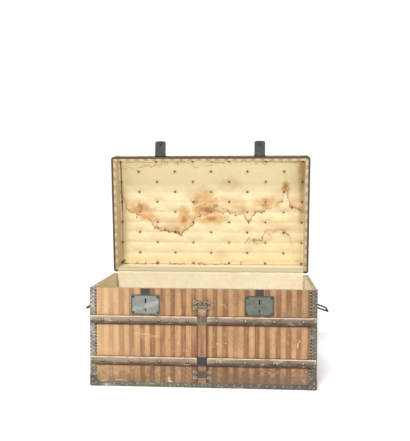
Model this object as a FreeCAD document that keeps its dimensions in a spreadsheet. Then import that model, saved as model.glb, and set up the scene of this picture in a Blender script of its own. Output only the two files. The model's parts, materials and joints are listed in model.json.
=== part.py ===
import FreeCAD, Part
import Sketcher
import os
import re

# A dome top trunk, standing open: a striped canvas covered box of boards with iron
# corners, hardwood slats, a centre strap, two hasp locks and two bail handles, and a
# lid with a low arched roof and a quilted lining. Millimetres, +Z up, front towards -Y,
# origin on the floor under the middle of the body.
#
# Every piece is drawn as it lies with the lid closed. The lid's pieces are then turned
# back about the hinge line, and each hasp about its own pin first.

document = FreeCAD.newDocument("dome_top_trunk")
sheet = document.addObject("Spreadsheet::Sheet", "sizes")

SIZES = (
    # the box
    ("body_width", 900, "over the canvas, left to right"),
    ("body_depth", 532, "over the canvas, front to back"),
    ("body_height", 396, "floor to rim"),
    ("corner_radius", 11, "upright corners, over the canvas"),
    ("canvas_thick", 1.2, "canvas cover"),
    ("board_thick", 15, "wall boards"),
    ("lining_thick", 1.8, "cloth on the inner walls"),
    ("tape_thick", 1, "canvas tape over the rims"),
    ("finger_count", 9, "finger joints up each corner"),
    ("floor_thick", 12, "bottom board"),
    ("batten_height", 10, "battens under the bottom board"),
    ("batten_width", 60, "battens, left to right"),
    ("batten_pitch", 290, "batten to batten"),
    # iron edging
    ("edging_thick", 1, "sheet iron edgings"),
    ("edging_leg", 30, "leg of an upright edging"),
    ("cap_thick", 2, "bottom corner caps"),
    ("cap_reach", 48, "round edge of a cap from its centre"),
    ("cap_shift", 9, "centre of a cap's round edge, outside the corner"),
    ("base_leg", 20, "height of the bottom edging"),
    ("base_flange", 14, "bottom edging under the walls"),
    ("iron_gap", 0.5, "end gap between irons"),
    # slats and nails
    ("slat_height", 31, "hardwood slats"),
    ("slat_thick", 9.5, "slats, out from the canvas"),
    ("slat_bevel", 3, "bevel along a slat"),
    ("upper_slat_drop", 141, "underside of the upper slat below the rim"),
    ("lower_slat_low", 91, "underside of the lower slat"),
    ("slat_parting", 42, "room for the strap between the halves"),
    ("nail_head", 9, "slat nail heads across"),
    ("nail_rise", 2.6, "height of a slat nail head"),
    ("nail_pitch", 113, "slat nail to slat nail"),
    ("nail_start", 57, "first slat nail from the middle"),
    ("nail_edge", 10, "last slat nail from the corner"),
    # centre strap
    ("strap_width", 37, "leather strap"),
    ("strap_thick", 4, "leather strap"),
    ("strap_drop", 46, "upper end of the strap below the rim"),
    ("keeper_iron", 2, "iron of the strap keepers"),
    ("keeper_height", 35, "strap keepers"),
    ("strap_play", 0.4, "strap to keeper or plate"),
    ("plate_width", 76, "cast strap plates"),
    ("plate_height", 42, "cast strap plates"),
    ("plate_thick", 3, "cast strap plates"),
    ("plate_lobe", 10, "radius of the plates' corner lobes"),
    ("upper_plate_drop", 85, "underside of the upper strap plate below the rim"),
    ("lower_plate_low", 32, "underside of the lower strap plate"),
    # locks
    ("lock_spacing", 450, "lock to lock"),
    ("lock_width", 114, "lock plate"),
    ("lock_height", 79, "lock plate"),
    ("lock_thick", 2.5, "lock plate"),
    ("lock_drop", 26, "lock plate below the rim"),
    ("lock_corner", 5, "corner radius of the lock plate"),
    ("tab_width", 33, "rim tab above a lock"),
    ("staple_drop", 50, "middle of the staple slot below the rim"),
    ("staple_height", 15, "staple"),
    ("staple_thick", 4.4, "staple"),
    ("staple_reach", 9.5, "staple into the lock"),
    ("slot_play", 1, "slot wider than the staple, each side"),
    ("slot_drop_play", 2, "slot taller than the staple, each end"),
    ("keyhole_drop", 84, "keyhole below the rim"),
    ("keyhole_radius", 2.8, "round end of the keyhole"),
    ("keyhole_slot", 2.4, "width of the keyhole's tail"),
    ("keyhole_length", 9, "tail of the keyhole"),
    ("case_wall", 1.2, "iron of the lock case"),
    ("case_depth", 12, "lock case into the board"),
    ("case_left", 43, "lock case, long side from the slot"),
    ("case_right", 20, "lock case, short side from the slot"),
    ("case_margin", 14, "lock case above the slot and below the keyhole"),
    ("case_play", 0.3, "mortise to lock case"),
    ("bolt_height", 7, "lock bolt"),
    ("bolt_thick", 3, "lock bolt"),
    ("bolt_length", 34, "lock bolt"),
    ("bolt_depth", 4.5, "middle of the bolt inside the canvas"),
    ("bolt_tip", 6, "bolt past the middle of the slot, thrown"),
    ("bolt_play", 0.3, "bolt in its guides"),
    ("guide_length", 8, "bolt guides"),
    ("guide_wall", 1.5, "iron round the bolt in its guides"),
    ("talon_width", 4, "talon on the bolt"),
    ("talon_drop", 12, "talon below the bolt"),
    ("rivet_head", 7, "rivet heads across"),
    ("rivet_rise", 2, "height of a rivet head"),
    ("rivet_inset", 9, "rivets from a plate's edges"),
    # hinges
    ("hinge_pitch", 290, "hinge to hinge"),
    ("hinge_width", 44, "hinge leaves"),
    ("hinge_leaf", 56, "height of a hinge leaf"),
    ("leaf_thick", 2, "hinge and hasp leaves"),
    ("knuckle_radius", 5, "hinge knuckles"),
    ("knuckle_middle", 16, "length of a hinge's middle knuckle"),
    ("knuckle_gap", 0.3, "knuckle to knuckle"),
    ("hinge_stand", 6.5, "hinge line behind the back"),
    ("hinge_pin", 2.4, "radius of the hinge pins"),
    ("pin_play", 0.06, "pins in moving knuckles"),
    ("lug_reach", 20, "stop lug behind the hinge line"),
    ("lug_rise", 5.2, "stop lug above the hinge line"),
    # lid
    ("lid_angle", 84, "degrees the lid stands open"),
    ("lid_gap", 0.8, "lid above the body when closed"),
    ("lid_wall", 95, "straight walls of the lid"),
    ("roof_rise", 42, "rise of the arched roof"),
    ("stave_thick", 9, "roof staves"),
    ("stave_count", 6, "roof staves"),
    ("lid_finger_count", 3, "finger joints up each corner of the lid"),
    ("rim_flange", 7.5, "rim binding across the rim"),
    ("rim_leg", 13, "rim binding up the lid's walls"),
    ("arch_edging", 24, "edging along the arched ends"),
    ("roof_slat_pitch", 165, "roof slat to roof slat"),
    ("pad_drop", 84, "edge of the ceiling pad above the lid's rim"),
    ("pad_crown", 24, "hollow of the ceiling pad"),
    ("tack_inset", 8, "outer tacks from the wall lining"),
    ("tack_columns", 6, "tacks along a long row"),
    ("tack_rows", 6, "long rows of tacks"),
    ("tack_head", 8, "tack heads across"),
    ("tack_rise", 2, "height of a tack head"),
    ("tack_play", 0.02, "tack head to the pad"),
    ("cloth_thick", 0.8, "cloth over the hinge line"),
    ("cloth_height", 24, "each half of the cloth over the hinge line"),
    # hasps
    ("hasp_width", 48, "hasps"),
    ("hasp_length", 66, "hasp from its pin to its end"),
    ("hasp_thick", 2.5, "hasps"),
    ("hasp_corner", 9, "corner radius at a hasp's end"),
    ("hasp_clear", 0.5, "hasp to lock plate when closed"),
    ("hasp_angle", 104, "degrees a hasp stands open"),
    ("hasp_stand", 5.8, "hasp pin in front of the canvas"),
    ("hasp_pin_rise", 7, "hasp pin above the lid's rim"),
    ("hasp_knuckle", 4.2, "radius of the hasp knuckles"),
    ("hasp_middle", 20, "length of the hasp's own knuckle"),
    ("hasp_pin", 2, "radius of the hasp pins"),
    ("hasp_leaf", 30, "height of a hasp's leaf on the lid"),
    ("hasp_neck", 4.8, "hasp plate below its pin"),
    ("hasp_lug_reach", 9, "stop over a hasp, in front of its pin"),
    ("hasp_lug_rise", 2.3, "underside of a hasp's stop above its pin"),
    ("eye_play", 0.8, "bolt in the staple's eye"),
    # handles
    ("handle_height", 298, "handle line above the floor"),
    ("handle_span", 110, "between the middles of a bail's arms"),
    ("handle_reach", 54, "handle line to the middle of the grip"),
    ("handle_radius", 3.6, "iron of the bail"),
    ("handle_bend", 11, "bends at the grip"),
    ("handle_elbow", 4.2, "bends at the trunnions"),
    ("trunnion_end", 2.2, "trunnion past its ear"),
    ("handle_stand", 10, "handle line outside the canvas"),
    ("handle_angle", 20, "degrees the bails hang below level"),
    ("ear_radius", 8, "ears of a handle plate"),
    ("ear_thick", 7, "ears along the handle line"),
    ("ear_gap", 1.2, "ear to the bail's arm"),
    ("handle_plate_height", 40, "handle plates"),
    ("handle_plate_margin", 9, "handle plate past its ears"),
)

ALIASES = {alias for alias, number, note in SIZES}
for row, (alias, number, note) in enumerate(SIZES, start=1):
    sheet.set("A%d" % row, note)
    sheet.set("B%d" % row, str(number))
    sheet.setAlias("B%d" % row, alias)
document.recompute()


# ---------------------------------------------------------------- tools

def tied(formula):
    """The formula with every size in it pointing at its cell."""
    return re.sub(r"[a-z_]\w*", lambda word: "sizes." + word[0] if word[0] in ALIASES else word[0],
                  formula)


def tie(thing, **formulas):
    """Bind properties to formulas; a double underscore stands for the point in a path."""
    for path, formula in formulas.items():
        thing.setExpression(path.replace("__", "."), tied(formula))
    return thing


def worth(formula):
    """What a formula comes to now."""
    return float(sheet.evalExpression(formula))


def around(middle, width):
    """The two ends of a width set about a middle."""
    return "(%s) - (%s)/2" % (middle, width), "(%s) + (%s)/2" % (middle, width)


def block(name, x, y, z):
    """A box between two formulas along each axis."""
    box = document.addObject("Part::Box", name)
    return tie(box, Length="(%s) - (%s)" % (x[1], x[0]), Width="(%s) - (%s)" % (y[1], y[0]),
               Height="(%s) - (%s)" % (z[1], z[0]), Placement__Base__x=x[0],
               Placement__Base__y=y[0], Placement__Base__z=z[0])


TURNED = {"x": FreeCAD.Rotation(FreeCAD.Vector(0, 1, 0), 90),
          "y": FreeCAD.Rotation(FreeCAD.Vector(1, 0, 0), -90),
          "z": FreeCAD.Rotation()}


def rod(name, along, span, radius, **middle):
    """A cylinder along one axis between two formulas, its line at the other two."""
    cylinder = document.addObject("Part::Cylinder", name)
    cylinder.Placement = FreeCAD.Placement(FreeCAD.Vector(), TURNED[along])
    tie(cylinder, Radius=radius, Height="(%s) - (%s)" % (span[1], span[0]))
    middle[along] = span[0]
    for axis, formula in middle.items():
        cylinder.setExpression("Placement.Base." + axis, tied(formula))
    return cylinder


def joined(name, *pieces):
    """Pieces fused into one."""
    if len(pieces) == 1:
        return pieces[0]
    fuse = document.addObject("Part::MultiFuse", name)
    fuse.Shapes = list(pieces)
    return fuse


def cut(name, base, *tools):
    """A piece less the tools."""
    result = document.addObject("Part::Cut", name)
    result.Base = base
    result.Tool = joined(name + "_tools", *tools)
    return result


def shared(name, first, second):
    """What two pieces have in common."""
    result = document.addObject("Part::Common", name)
    result.Base = first
    result.Tool = second
    return result


def together(name, *pieces):
    """Separate solids kept in one group."""
    group = document.addObject("Part::Compound", name)
    group.Links = list(pieces)
    return group


def swung(name, angle, y, z, *pieces):
    """Pieces turned back by an angle about a line along X."""
    group = together(name, *pieces)
    group.Placement = FreeCAD.Placement(FreeCAD.Vector(),
                                        FreeCAD.Rotation(FreeCAD.Vector(-1, 0, 0), 30))
    return tie(group, Placement__Rotation__Angle=angle,
               Placement__Base__y="(%s)*(1 - cos(%s)) - (%s)*sin(%s)" % (y, angle, z, angle),
               Placement__Base__z="(%s)*(1 - cos(%s)) + (%s)*sin(%s)" % (z, angle, y, angle))


PLANES = {"z": "XY_Plane", "y": "XZ_Plane", "x": "YZ_Plane"}


def lay(sketch, body, along):
    """Put a sketch on the origin plane across an axis."""
    plane = next(item for item in body.Origin.OriginFeatures if item.Role == PLANES[along])
    sketch.AttachmentSupport = (plane, [""])
    sketch.MapMode = "FlatFace"


def bound(sketch, constraint, formula):
    """Add a constraint whose value follows a formula."""
    index = sketch.addConstraint(constraint)
    sketch.setExpression("Constraints[%d]" % index, tied(formula))


def place_point(sketch, item, end, across, up):
    """Fix one end of a line at two formulas."""
    for kind, axis, formula in (("DistanceX", -2, across), ("DistanceY", -1, up)):
        if formula == "0":
            sketch.addConstraint(Sketcher.Constraint("PointOnObject", item, end, axis))
        else:
            bound(sketch, Sketcher.Constraint(kind, -1, 1, item, end, worth(formula)), formula)


def prism(name, along, outline, span):
    """A body padded along an axis from corners given as formula pairs.

    Each pair is the corner's place on the other two axes, in X, Y, Z order."""
    body = document.addObject("PartDesign::Body", name)
    sketch = body.newObject("Sketcher::SketchObject", name + "_outline")
    lay(sketch, body, along)
    # the plane across Y looks towards -Y, so its pad starts at the far end
    tie(sketch, AttachmentOffset__Base__z="-(%s)" % span[1] if along == "y" else span[0])
    corners = [FreeCAD.Vector(worth(across), worth(up)) for across, up in outline]
    for number, corner in enumerate(corners):
        following = corners[(number + 1) % len(corners)]
        sketch.addGeometry(Part.LineSegment(corner, following), False)
    for number, (across, up) in enumerate(outline):
        before = (number - 1) % len(outline)
        sketch.addConstraint(Sketcher.Constraint("Coincident", before, 2, number, 1))
        place_point(sketch, number, 1, across, up)
    pad = body.newObject("PartDesign::Pad", name + "_pad")
    pad.Profile = sketch
    tie(pad, Length="(%s) - (%s)" % (span[1], span[0]))
    return body


def oblong(across, up):
    """The four corners of a rectangle between two pairs of formulas."""
    return [(across[0], up[0]), (across[1], up[0]), (across[1], up[1]), (across[0], up[1])]


def eased(body, kind, size, chosen):
    """Fillet or chamfer the edges of a body's tip that a test picks."""
    document.recompute()
    tip = body.Tip
    edges = ["Edge%d" % number for number, edge in enumerate(tip.Shape.Edges, start=1)
             if chosen(edge)]
    feature = body.newObject("PartDesign::" + kind, "%s_%s" % (body.Name, kind.lower()))
    feature.Base = (tip, edges)
    feature.setExpression("Radius" if kind == "Fillet" else "Size", tied(size))
    return body


def runs(axis):
    """A test for straight edges along an axis."""
    def test(edge):
        ends = edge.Vertexes[-1].Point - edge.Vertexes[0].Point
        return ends.Length > 1e-6 and abs(getattr(ends, axis)) > 0.999 * ends.Length
    return test


def stud(name, head, rise, lean, x, y, z):
    """An eight sided nail head on the point x, y, z, turned from +Z about X by the lean."""
    prism_head = document.addObject("Part::Prism", name)
    prism_head.Polygon = 8
    prism_head.Placement = FreeCAD.Placement(FreeCAD.Vector(),
                                             FreeCAD.Rotation(FreeCAD.Vector(1, 0, 0), 30))
    return tie(prism_head, Circumradius="(%s)/2" % head, Height=rise,
               Placement__Rotation__Angle=lean, Placement__Base__x=x, Placement__Base__y=y,
               Placement__Base__z=z)


def dome(name, head, rise, lean, x, y, z):
    """A domed head on the point x, y, z, its crown turned from +Z about X by the lean."""
    ball = "(((%s)^2/4 + (%s)^2)/(2*(%s)))" % (head, rise, rise)
    sunk = "(%s - (%s))" % (ball, rise)
    cap = document.addObject("Part::Sphere", name)
    cap.Placement = FreeCAD.Placement(FreeCAD.Vector(),
                                      FreeCAD.Rotation(FreeCAD.Vector(1, 0, 0), 30))
    return tie(cap, Radius=ball, Angle1="asin(%s/%s)" % (sunk, ball),
               Placement__Rotation__Angle=lean, Placement__Base__x=x,
               Placement__Base__y="(%s) + %s*sin(%s)" % (y, sunk, lean),
               Placement__Base__z="(%s) - %s*cos(%s)" % (z, sunk, lean))


FRONTWARD = "90 deg"
BACKWARD = "270 deg"
UPWARD = "0 deg"

nodes = []


def node(piece, label=None):
    """Keep a piece as a part of the trunk, under its own name."""
    piece.Label = label or piece.Name
    nodes.append(piece)
    return piece


# ---------------------------------------------------------------- places

FRONT = "-body_depth/2"
BACK = "body_depth/2"
RIM = "body_height"
WALL = "(canvas_thick + board_thick)"
INSIDE = "(canvas_thick + board_thick + lining_thick)"
WALL_FOOT = "cap_thick"
WALL_TOP = "(body_height - tape_thick)"
FLOOR = "(batten_height + floor_thick)"
LID_RIM = "(body_height + lid_gap)"
LID_FOOT = "(body_height + lid_gap + edging_thick + tape_thick)"
ROOF_RADIUS = "((body_depth^2/4 + roof_rise^2)/(2*roof_rise))"
CROWN = "(body_height + lid_gap + lid_wall + roof_rise)"
HINGE_Y = "(body_depth/2 + hinge_stand)"
HINGE_Z = "(body_height + lid_gap/2)"
FULL_X = around("0", "body_width + 40")
FULL_Y = around("0", "body_depth + 40")


def inner(axis_size, inset):
    """The two ends of the plan along one axis, moved in."""
    return around("0", "%s - 2*(%s)" % (axis_size, inset))


def plan(name, offset, z):
    """The trunk's plan with its round corners, moved out by an offset."""
    outline = oblong(inner("body_width", "-(%s)" % offset), inner("body_depth", "-(%s)" % offset))
    return eased(prism(name, "z", outline, z), "Fillet", "corner_radius + (%s)" % offset,
                 runs("z"))


def square_plan(name, inset, z):
    """The plan inside the walls, where the corners are square."""
    return block(name, inner("body_width", inset), inner("body_depth", inset), z)


def under_roof(name, depth):
    """All that lies at least a depth below the arched roof."""
    return rod(name, "x", FULL_X, "%s - (%s)" % (ROOF_RADIUS, depth), y="0",
               z="%s - %s" % (CROWN, ROOF_RADIUS))


def on_lid(name, *pieces):
    """Pieces of the lid, turned back to where it stands open."""
    return node(swung(name, "lid_angle", HINGE_Y, HINGE_Z, *pieces))


def strip(name, side, depth, z):
    """The layer along one wall: front and back over the whole width, ends likewise."""
    reach = {"front": (FULL_X, ("%s - 20" % FRONT, "%s + %s" % (FRONT, depth))),
             "back": (FULL_X, ("%s - %s" % (BACK, depth), "%s + 20" % BACK)),
             "left": (("-body_width/2 - 20", "-body_width/2 + %s" % depth), FULL_Y),
             "right": (("body_width/2 - %s" % depth, "body_width/2 + 20"), FULL_Y)}[side]
    return block(name, reach[0], reach[1], z)


def fingers(name, first, count, foot, top):
    """Every other finger of the four corner joints, as solids to cut away."""
    step = "((%s) - (%s))/%s" % (top, foot, count)
    teeth = []
    for number in range(first, int(worth(count)), 2):
        z = ("(%s) + %d*%s" % (foot, number, step), "(%s) + %d*%s" % (foot, number + 1, step))
        for side in ("left", "right"):
            for end in ("front", "back"):
                x = {"left": ("-body_width/2 - 1", "-body_width/2 + %s" % WALL),
                     "right": ("body_width/2 - %s" % WALL, "body_width/2 + 1")}[side]
                y = {"front": ("%s - 1" % FRONT, "%s + %s" % (FRONT, WALL)),
                     "back": ("%s - %s" % (BACK, WALL), "%s + 1" % BACK)}[end]
                teeth.append(block("%s_%s_%s_%d" % (name, side, end, number), x, y, z))
    return joined(name, *teeth)


# ---------------------------------------------------------------- locks: where they are let in

LOCKS = (("left", "-lock_spacing/2"), ("right", "lock_spacing/2"))
SLOT_Z = "(body_height - staple_drop)"
KEYHOLE_Z = "(body_height - keyhole_drop)"


def case_form(name, middle, grow, depth):
    """The outside of a lock case, grown all round, from the canvas face inwards."""
    return block(name, ("%s - case_left - (%s)" % (middle, grow),
                        "%s + case_right + (%s)" % (middle, grow)),
                 (FRONT, "%s + %s" % (FRONT, depth)),
                 ("%s - case_margin - (%s)" % (KEYHOLE_Z, grow),
                  "%s + case_margin + (%s)" % (SLOT_Z, grow)))


mortises = joined("mortises", *[case_form(side + "_mortise", middle, "case_play",
                                          "case_depth + case_play") for side, middle in LOCKS])


# ---------------------------------------------------------------- box of boards

node(block("bottom_board", inner("body_width", WALL), inner("body_depth", WALL),
           ("batten_height", FLOOR)))
node(together("bottom_battens", *[
    block("batten_%d" % number, around("%d*batten_pitch" % number, "batten_width"),
          inner("body_depth", WALL), ("0", "batten_height")) for number in (-1, 0, 1)]))

walls = cut("walls", plan("walls_outside", "-canvas_thick", (WALL_FOOT, WALL_TOP)),
            square_plan("walls_inside", WALL, ("0", RIM)))
even_fingers = fingers("even_fingers", 0, "finger_count", WALL_FOOT, WALL_TOP)
odd_fingers = fingers("odd_fingers", 1, "finger_count", WALL_FOOT, WALL_TOP)
for side, gaps in (("front", odd_fingers), ("back", odd_fingers), ("left", even_fingers),
                   ("right", even_fingers)):
    wall = shared(side + "_wall", walls, strip(side + "_strip", side, WALL, ("0", RIM)))
    tools = (gaps, mortises) if side == "front" else (gaps,)
    node(cut(side + "_board", wall, *tools))


# ---------------------------------------------------------------- canvas, tape and lining

cover = cut("cover", plan("cover_outside", "0", (WALL_FOOT, WALL_TOP)),
            plan("cover_inside", "-canvas_thick", ("0", RIM)))
BETWEEN_CORNERS = around("0", "body_depth - 2*corner_radius")
for side in ("left", "right"):
    x = {"left": ("-body_width/2 - 1", "-body_width/2 + canvas_thick"),
         "right": ("body_width/2 - canvas_thick", "body_width/2 + 1")}[side]
    panel = block(side + "_panel", x, BETWEEN_CORNERS, ("0", RIM))
    node(shared(side + "_canvas", cover, panel))
front_wrap = shared("front_wrap", cover, strip("front_wrap_strip", "front", "corner_radius",
                                               ("0", RIM)))
node(cut("front_canvas", front_wrap, mortises))
node(shared("back_canvas", cover, strip("back_wrap_strip", "back", "corner_radius", ("0", RIM))))

node(cut("wall_lining", square_plan("lining_outside", WALL, (FLOOR, WALL_TOP)),
         square_plan("lining_inside", INSIDE, ("0", RIM))))
node(square_plan("floor_lining", INSIDE, (FLOOR, "%s + lining_thick" % FLOOR)))
node(cut("rim_tape", plan("tape_outside", "0", (WALL_TOP, RIM)),
         square_plan("tape_inside", INSIDE, ("0", "body_height + 1"))))


# ---------------------------------------------------------------- iron edging and caps

CORNERS = [(x_side, y_side) for x_side in (-1, 1) for y_side in (-1, 1)]


def corner_balls(name, radius):
    """Balls whose skins are the round edges of the bottom corner caps."""
    balls = []
    for number, (x_side, y_side) in enumerate(CORNERS):
        ball = document.addObject("Part::Sphere", "%s_%d" % (name, number))
        balls.append(tie(ball, Radius=radius,
                         Placement__Base__x="%d*(body_width/2 + cap_shift)" % x_side,
                         Placement__Base__y="%d*(body_depth/2 + cap_shift)" % y_side,
                         Placement__Base__z="0"))
    return joined(name, *balls)


cap_skin = cut("cap_skin", plan("cap_outside", "cap_thick", ("0", "cap_reach + cap_shift")),
               plan("cap_inside", "0", ("cap_thick", "cap_reach + cap_shift + 1")))
node(shared("bottom_corner_caps", cap_skin, corner_balls("cap_balls", "cap_reach")))

clear_of_caps = corner_balls("clear_of_caps", "cap_reach + iron_gap")
upright_skin = cut("upright_skin", plan("upright_outside", "edging_thick", (WALL_FOOT, RIM)),
                   plan("upright_inside", "0", ("0", "body_height + 1")))
upright_corners = joined("upright_corners", *[
    block("upright_corner_%d" % number,
          around("%d*body_width/2" % x_side, "2*edging_leg"),
          around("%d*body_depth/2" % y_side, "2*edging_leg"), ("0", RIM))
    for number, (x_side, y_side) in enumerate(CORNERS)])
corner_edging = node(cut("corner_edging", shared("upright_legs", upright_skin, upright_corners),
                         clear_of_caps))

BASE_FOOT = "(cap_thick - edging_thick)"
base_leg = cut("base_leg_ring", plan("base_outside", "edging_thick", (BASE_FOOT, "base_leg")),
               plan("base_inside", "0", (WALL_FOOT, "base_leg + 1")),
               square_plan("base_opening", "base_flange", ("0", "base_leg")))
node(cut("bottom_edging", base_leg, corner_balls("clear_of_caps_too", "cap_reach + iron_gap"),
         joined("upright_feet", *[
             block("upright_foot_%d" % number,
                   around("%d*body_width/2" % x_side, "2*(edging_leg + iron_gap)"),
                   around("%d*body_depth/2" % y_side, "2*(edging_leg + iron_gap)"),
                   ("0", "base_leg + 1")) for number, (x_side, y_side) in enumerate(CORNERS)])))


# ---------------------------------------------------------------- slats and their nails

def wall_slat(name, face, side, low, x):
    """A bevelled slat on a wall; side is -1 at the front and 1 at the back."""
    out = "(%s) + %d*(slat_thick - slat_bevel)" % (face, side)
    edge = "(%s) + %d*slat_thick" % (face, side)
    high = "%s + slat_height" % low
    outline = [(face, low), (face, high), (out, high), (edge, "%s - slat_bevel" % high),
               (edge, "%s + slat_bevel" % low), (out, low)]
    return cut(name, prism(name + "_blank", "x", outline, x), corner_edging)


LEFT_HALF = ("-body_width/2", "-slat_parting/2")
RIGHT_HALF = ("slat_parting/2", "body_width/2")
WHOLE = ("-body_width/2", "body_width/2")
SLATS = (("upper", "(body_height - upper_slat_drop)"), ("lower", "lower_slat_low"))
node(together("front_slats", *[
    wall_slat("front_%s_%s" % (level, half), FRONT, -1, low, x)
    for level, low in SLATS for half, x in (("left", LEFT_HALF), ("right", RIGHT_HALF))]))
node(together("back_slats", *[wall_slat("back_%s" % level, BACK, 1, low, WHOLE)
                              for level, low in SLATS]))

NAIL_PLACES = ["nail_start + %d*nail_pitch" % number for number in range(4)]
NAIL_PLACES.append("body_width/2 - nail_edge")


def nail_row(name, lean, y, z):
    """Nail heads along a slat, to both sides of the middle."""
    return [stud("%s_%d_%s" % (name, number, "right" if side > 0 else "left"), "nail_head",
                 "nail_rise", lean, "%d*(%s)" % (side, place), y, z)
            for number, place in enumerate(NAIL_PLACES) for side in (-1, 1)]


slat_nails = []
for level, low in SLATS:
    middle = "%s + slat_height/2" % low
    slat_nails += nail_row("front_%s_nail" % level, FRONTWARD, "%s - slat_thick" % FRONT, middle)
    slat_nails += nail_row("back_%s_nail" % level, BACKWARD, "%s + slat_thick" % BACK, middle)
node(together("slat_nails", *slat_nails))


# ---------------------------------------------------------------- centre strap

STRAP_ROOM = "(strap_thick + strap_play)"
STRAP_SIDE = "(strap_width/2 + strap_play)"
strap_outline = [("-strap_width/2", FRONT), ("-strap_width/2", "%s - strap_thick/2" % FRONT),
                 ("-strap_width/2 + strap_thick/2", "%s - strap_thick" % FRONT),
                 ("strap_width/2 - strap_thick/2", "%s - strap_thick" % FRONT),
                 ("strap_width/2", "%s - strap_thick/2" % FRONT), ("strap_width/2", FRONT)]
node(prism("centre_strap", "z", strap_outline, ("base_leg + iron_gap", "body_height - strap_drop")))


def bridge(name, iron, low, high):
    """An iron bridge over the strap: two feet on the canvas and a flat over the leather."""
    foot = "%s + %s" % (STRAP_SIDE, iron)
    outside = "%s - %s - %s" % (FRONT, STRAP_ROOM, iron)
    inside = "%s - %s" % (FRONT, STRAP_ROOM)
    outline = [("-(%s)" % foot, FRONT), ("-(%s)" % foot, outside), (foot, outside), (foot, FRONT),
               (STRAP_SIDE, FRONT), (STRAP_SIDE, inside), ("-" + STRAP_SIDE, inside),
               ("-" + STRAP_SIDE, FRONT)]
    return prism(name, "z", outline, (low, high))


for level, low in SLATS:
    z = around("%s + slat_height/2" % low, "keeper_height")
    node(bridge(level + "_strap_keeper", "keeper_iron", z[0], z[1]))


def strap_plate(name, low):
    """A cast plate with four round lobes and a bridge over the strap."""
    high = "%s + plate_height" % low
    face = ("%s - plate_thick" % FRONT, FRONT)
    lobes = [rod("%s_lobe_%d_%d" % (name, x_side, z_side), "y", face, "plate_lobe",
                 x="%d*(plate_width/2 - plate_lobe)" % x_side,
                 z="%s + plate_height/2 + %d*(plate_height/2 - plate_lobe)" % (low, z_side))
             for x_side in (-1, 1) for z_side in (-1, 1)]
    web = block(name + "_web", around("0", "plate_width - 2*plate_lobe"), face,
                ("%s + plate_lobe/2" % low, "%s - plate_lobe/2" % high))
    groove = block(name + "_groove", around("0", "2*%s" % STRAP_SIDE),
                   ("%s - %s" % (FRONT, STRAP_ROOM), FRONT),
                   ("%s - 1" % low, "%s + 1" % high))
    flange = cut(name + "_flange", joined(name + "_lobes", web, *lobes), groove)
    return joined(name, flange, bridge(name + "_bridge", "plate_thick", low, high))


node(strap_plate("upper_strap_plate", "(body_height - upper_plate_drop)"))
node(strap_plate("lower_strap_plate", "lower_plate_low"))


# ---------------------------------------------------------------- locks

PLATE_TOP = "(body_height - lock_drop)"
PLATE_LOW = "(body_height - lock_drop - lock_height)"
BOLT_Y = "(%s + bolt_depth)" % FRONT


def lock_plate(name, middle):
    """A round cornered plate with a staple slot and a keyhole."""
    face = ("%s - lock_thick" % FRONT, FRONT)
    body = prism(name + "_blank", "y", oblong(around(middle, "lock_width"),
                                              (PLATE_LOW, PLATE_TOP)), face)
    eased(body, "Fillet", "lock_corner", runs("y"))
    through = ("%s - lock_thick - 1" % FRONT, "%s + 1" % FRONT)
    slot = block(name + "_slot", around(middle, "staple_thick + 2*slot_play"), through,
                 around(SLOT_Z, "staple_height + 2*slot_drop_play"))
    eye = rod(name + "_eye", "y", through, "keyhole_radius", x=middle, z=KEYHOLE_Z)
    tail = block(name + "_tail", around(middle, "keyhole_slot"), through,
                 ("%s - keyhole_length" % KEYHOLE_Z, KEYHOLE_Z))
    return cut(name, body, slot, eye, tail)


def lock_case(name, middle):
    """An open fronted iron case with two guides for the bolt."""
    hollow = block(name + "_hollow", ("%s - case_left + case_wall" % middle,
                                      "%s + case_right - case_wall" % middle),
                   ("%s - 1" % FRONT, "%s + case_depth - case_wall" % FRONT),
                   ("%s - case_margin + case_wall" % KEYHOLE_Z,
                    "%s + case_margin - case_wall" % SLOT_Z))
    shell = cut(name + "_shell", case_form(name + "_form", middle, "0", "case_depth"), hollow)
    slot_side = "(%s - staple_thick/2 - slot_play - bolt_play)" % middle
    case_side = "(%s - case_left + case_wall)" % middle
    guides = [block("%s_guide_%s" % (name, which), x,
                    ("%s - bolt_thick/2 - guide_wall" % BOLT_Y,
                     "%s + case_depth - case_wall/2" % FRONT),
                    around(SLOT_Z, "bolt_height + 2*guide_wall"))
              for which, x in (("near", ("%s - guide_length" % slot_side, slot_side)),
                               ("far", (case_side, "%s + guide_length" % case_side)))]
    tunnel = block(name + "_tunnel", (case_side, "%s + 1" % slot_side),
                   around(BOLT_Y, "bolt_thick + 2*bolt_play"),
                   around(SLOT_Z, "bolt_height + 2*bolt_play"))
    return cut(name, joined(name + "_guided", shell, *guides), tunnel)


def lock_bolt(name, middle):
    """The spring bolt, thrown across the slot, with the talon that the key pushes."""
    tip = "%s + bolt_tip" % middle
    bar = block(name + "_bar", ("%s - bolt_length" % tip, tip), around(BOLT_Y, "bolt_thick"),
                around(SLOT_Z, "bolt_height"))
    talon_side = "(%s - staple_thick/2 - slot_play - 2*bolt_play - guide_length)" % middle
    talon = block(name + "_talon", ("%s - talon_width" % talon_side, talon_side),
                  around(BOLT_Y, "bolt_thick"),
                  ("%s - bolt_height/2 - talon_drop" % SLOT_Z, SLOT_Z))
    return joined(name, bar, talon)


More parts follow.
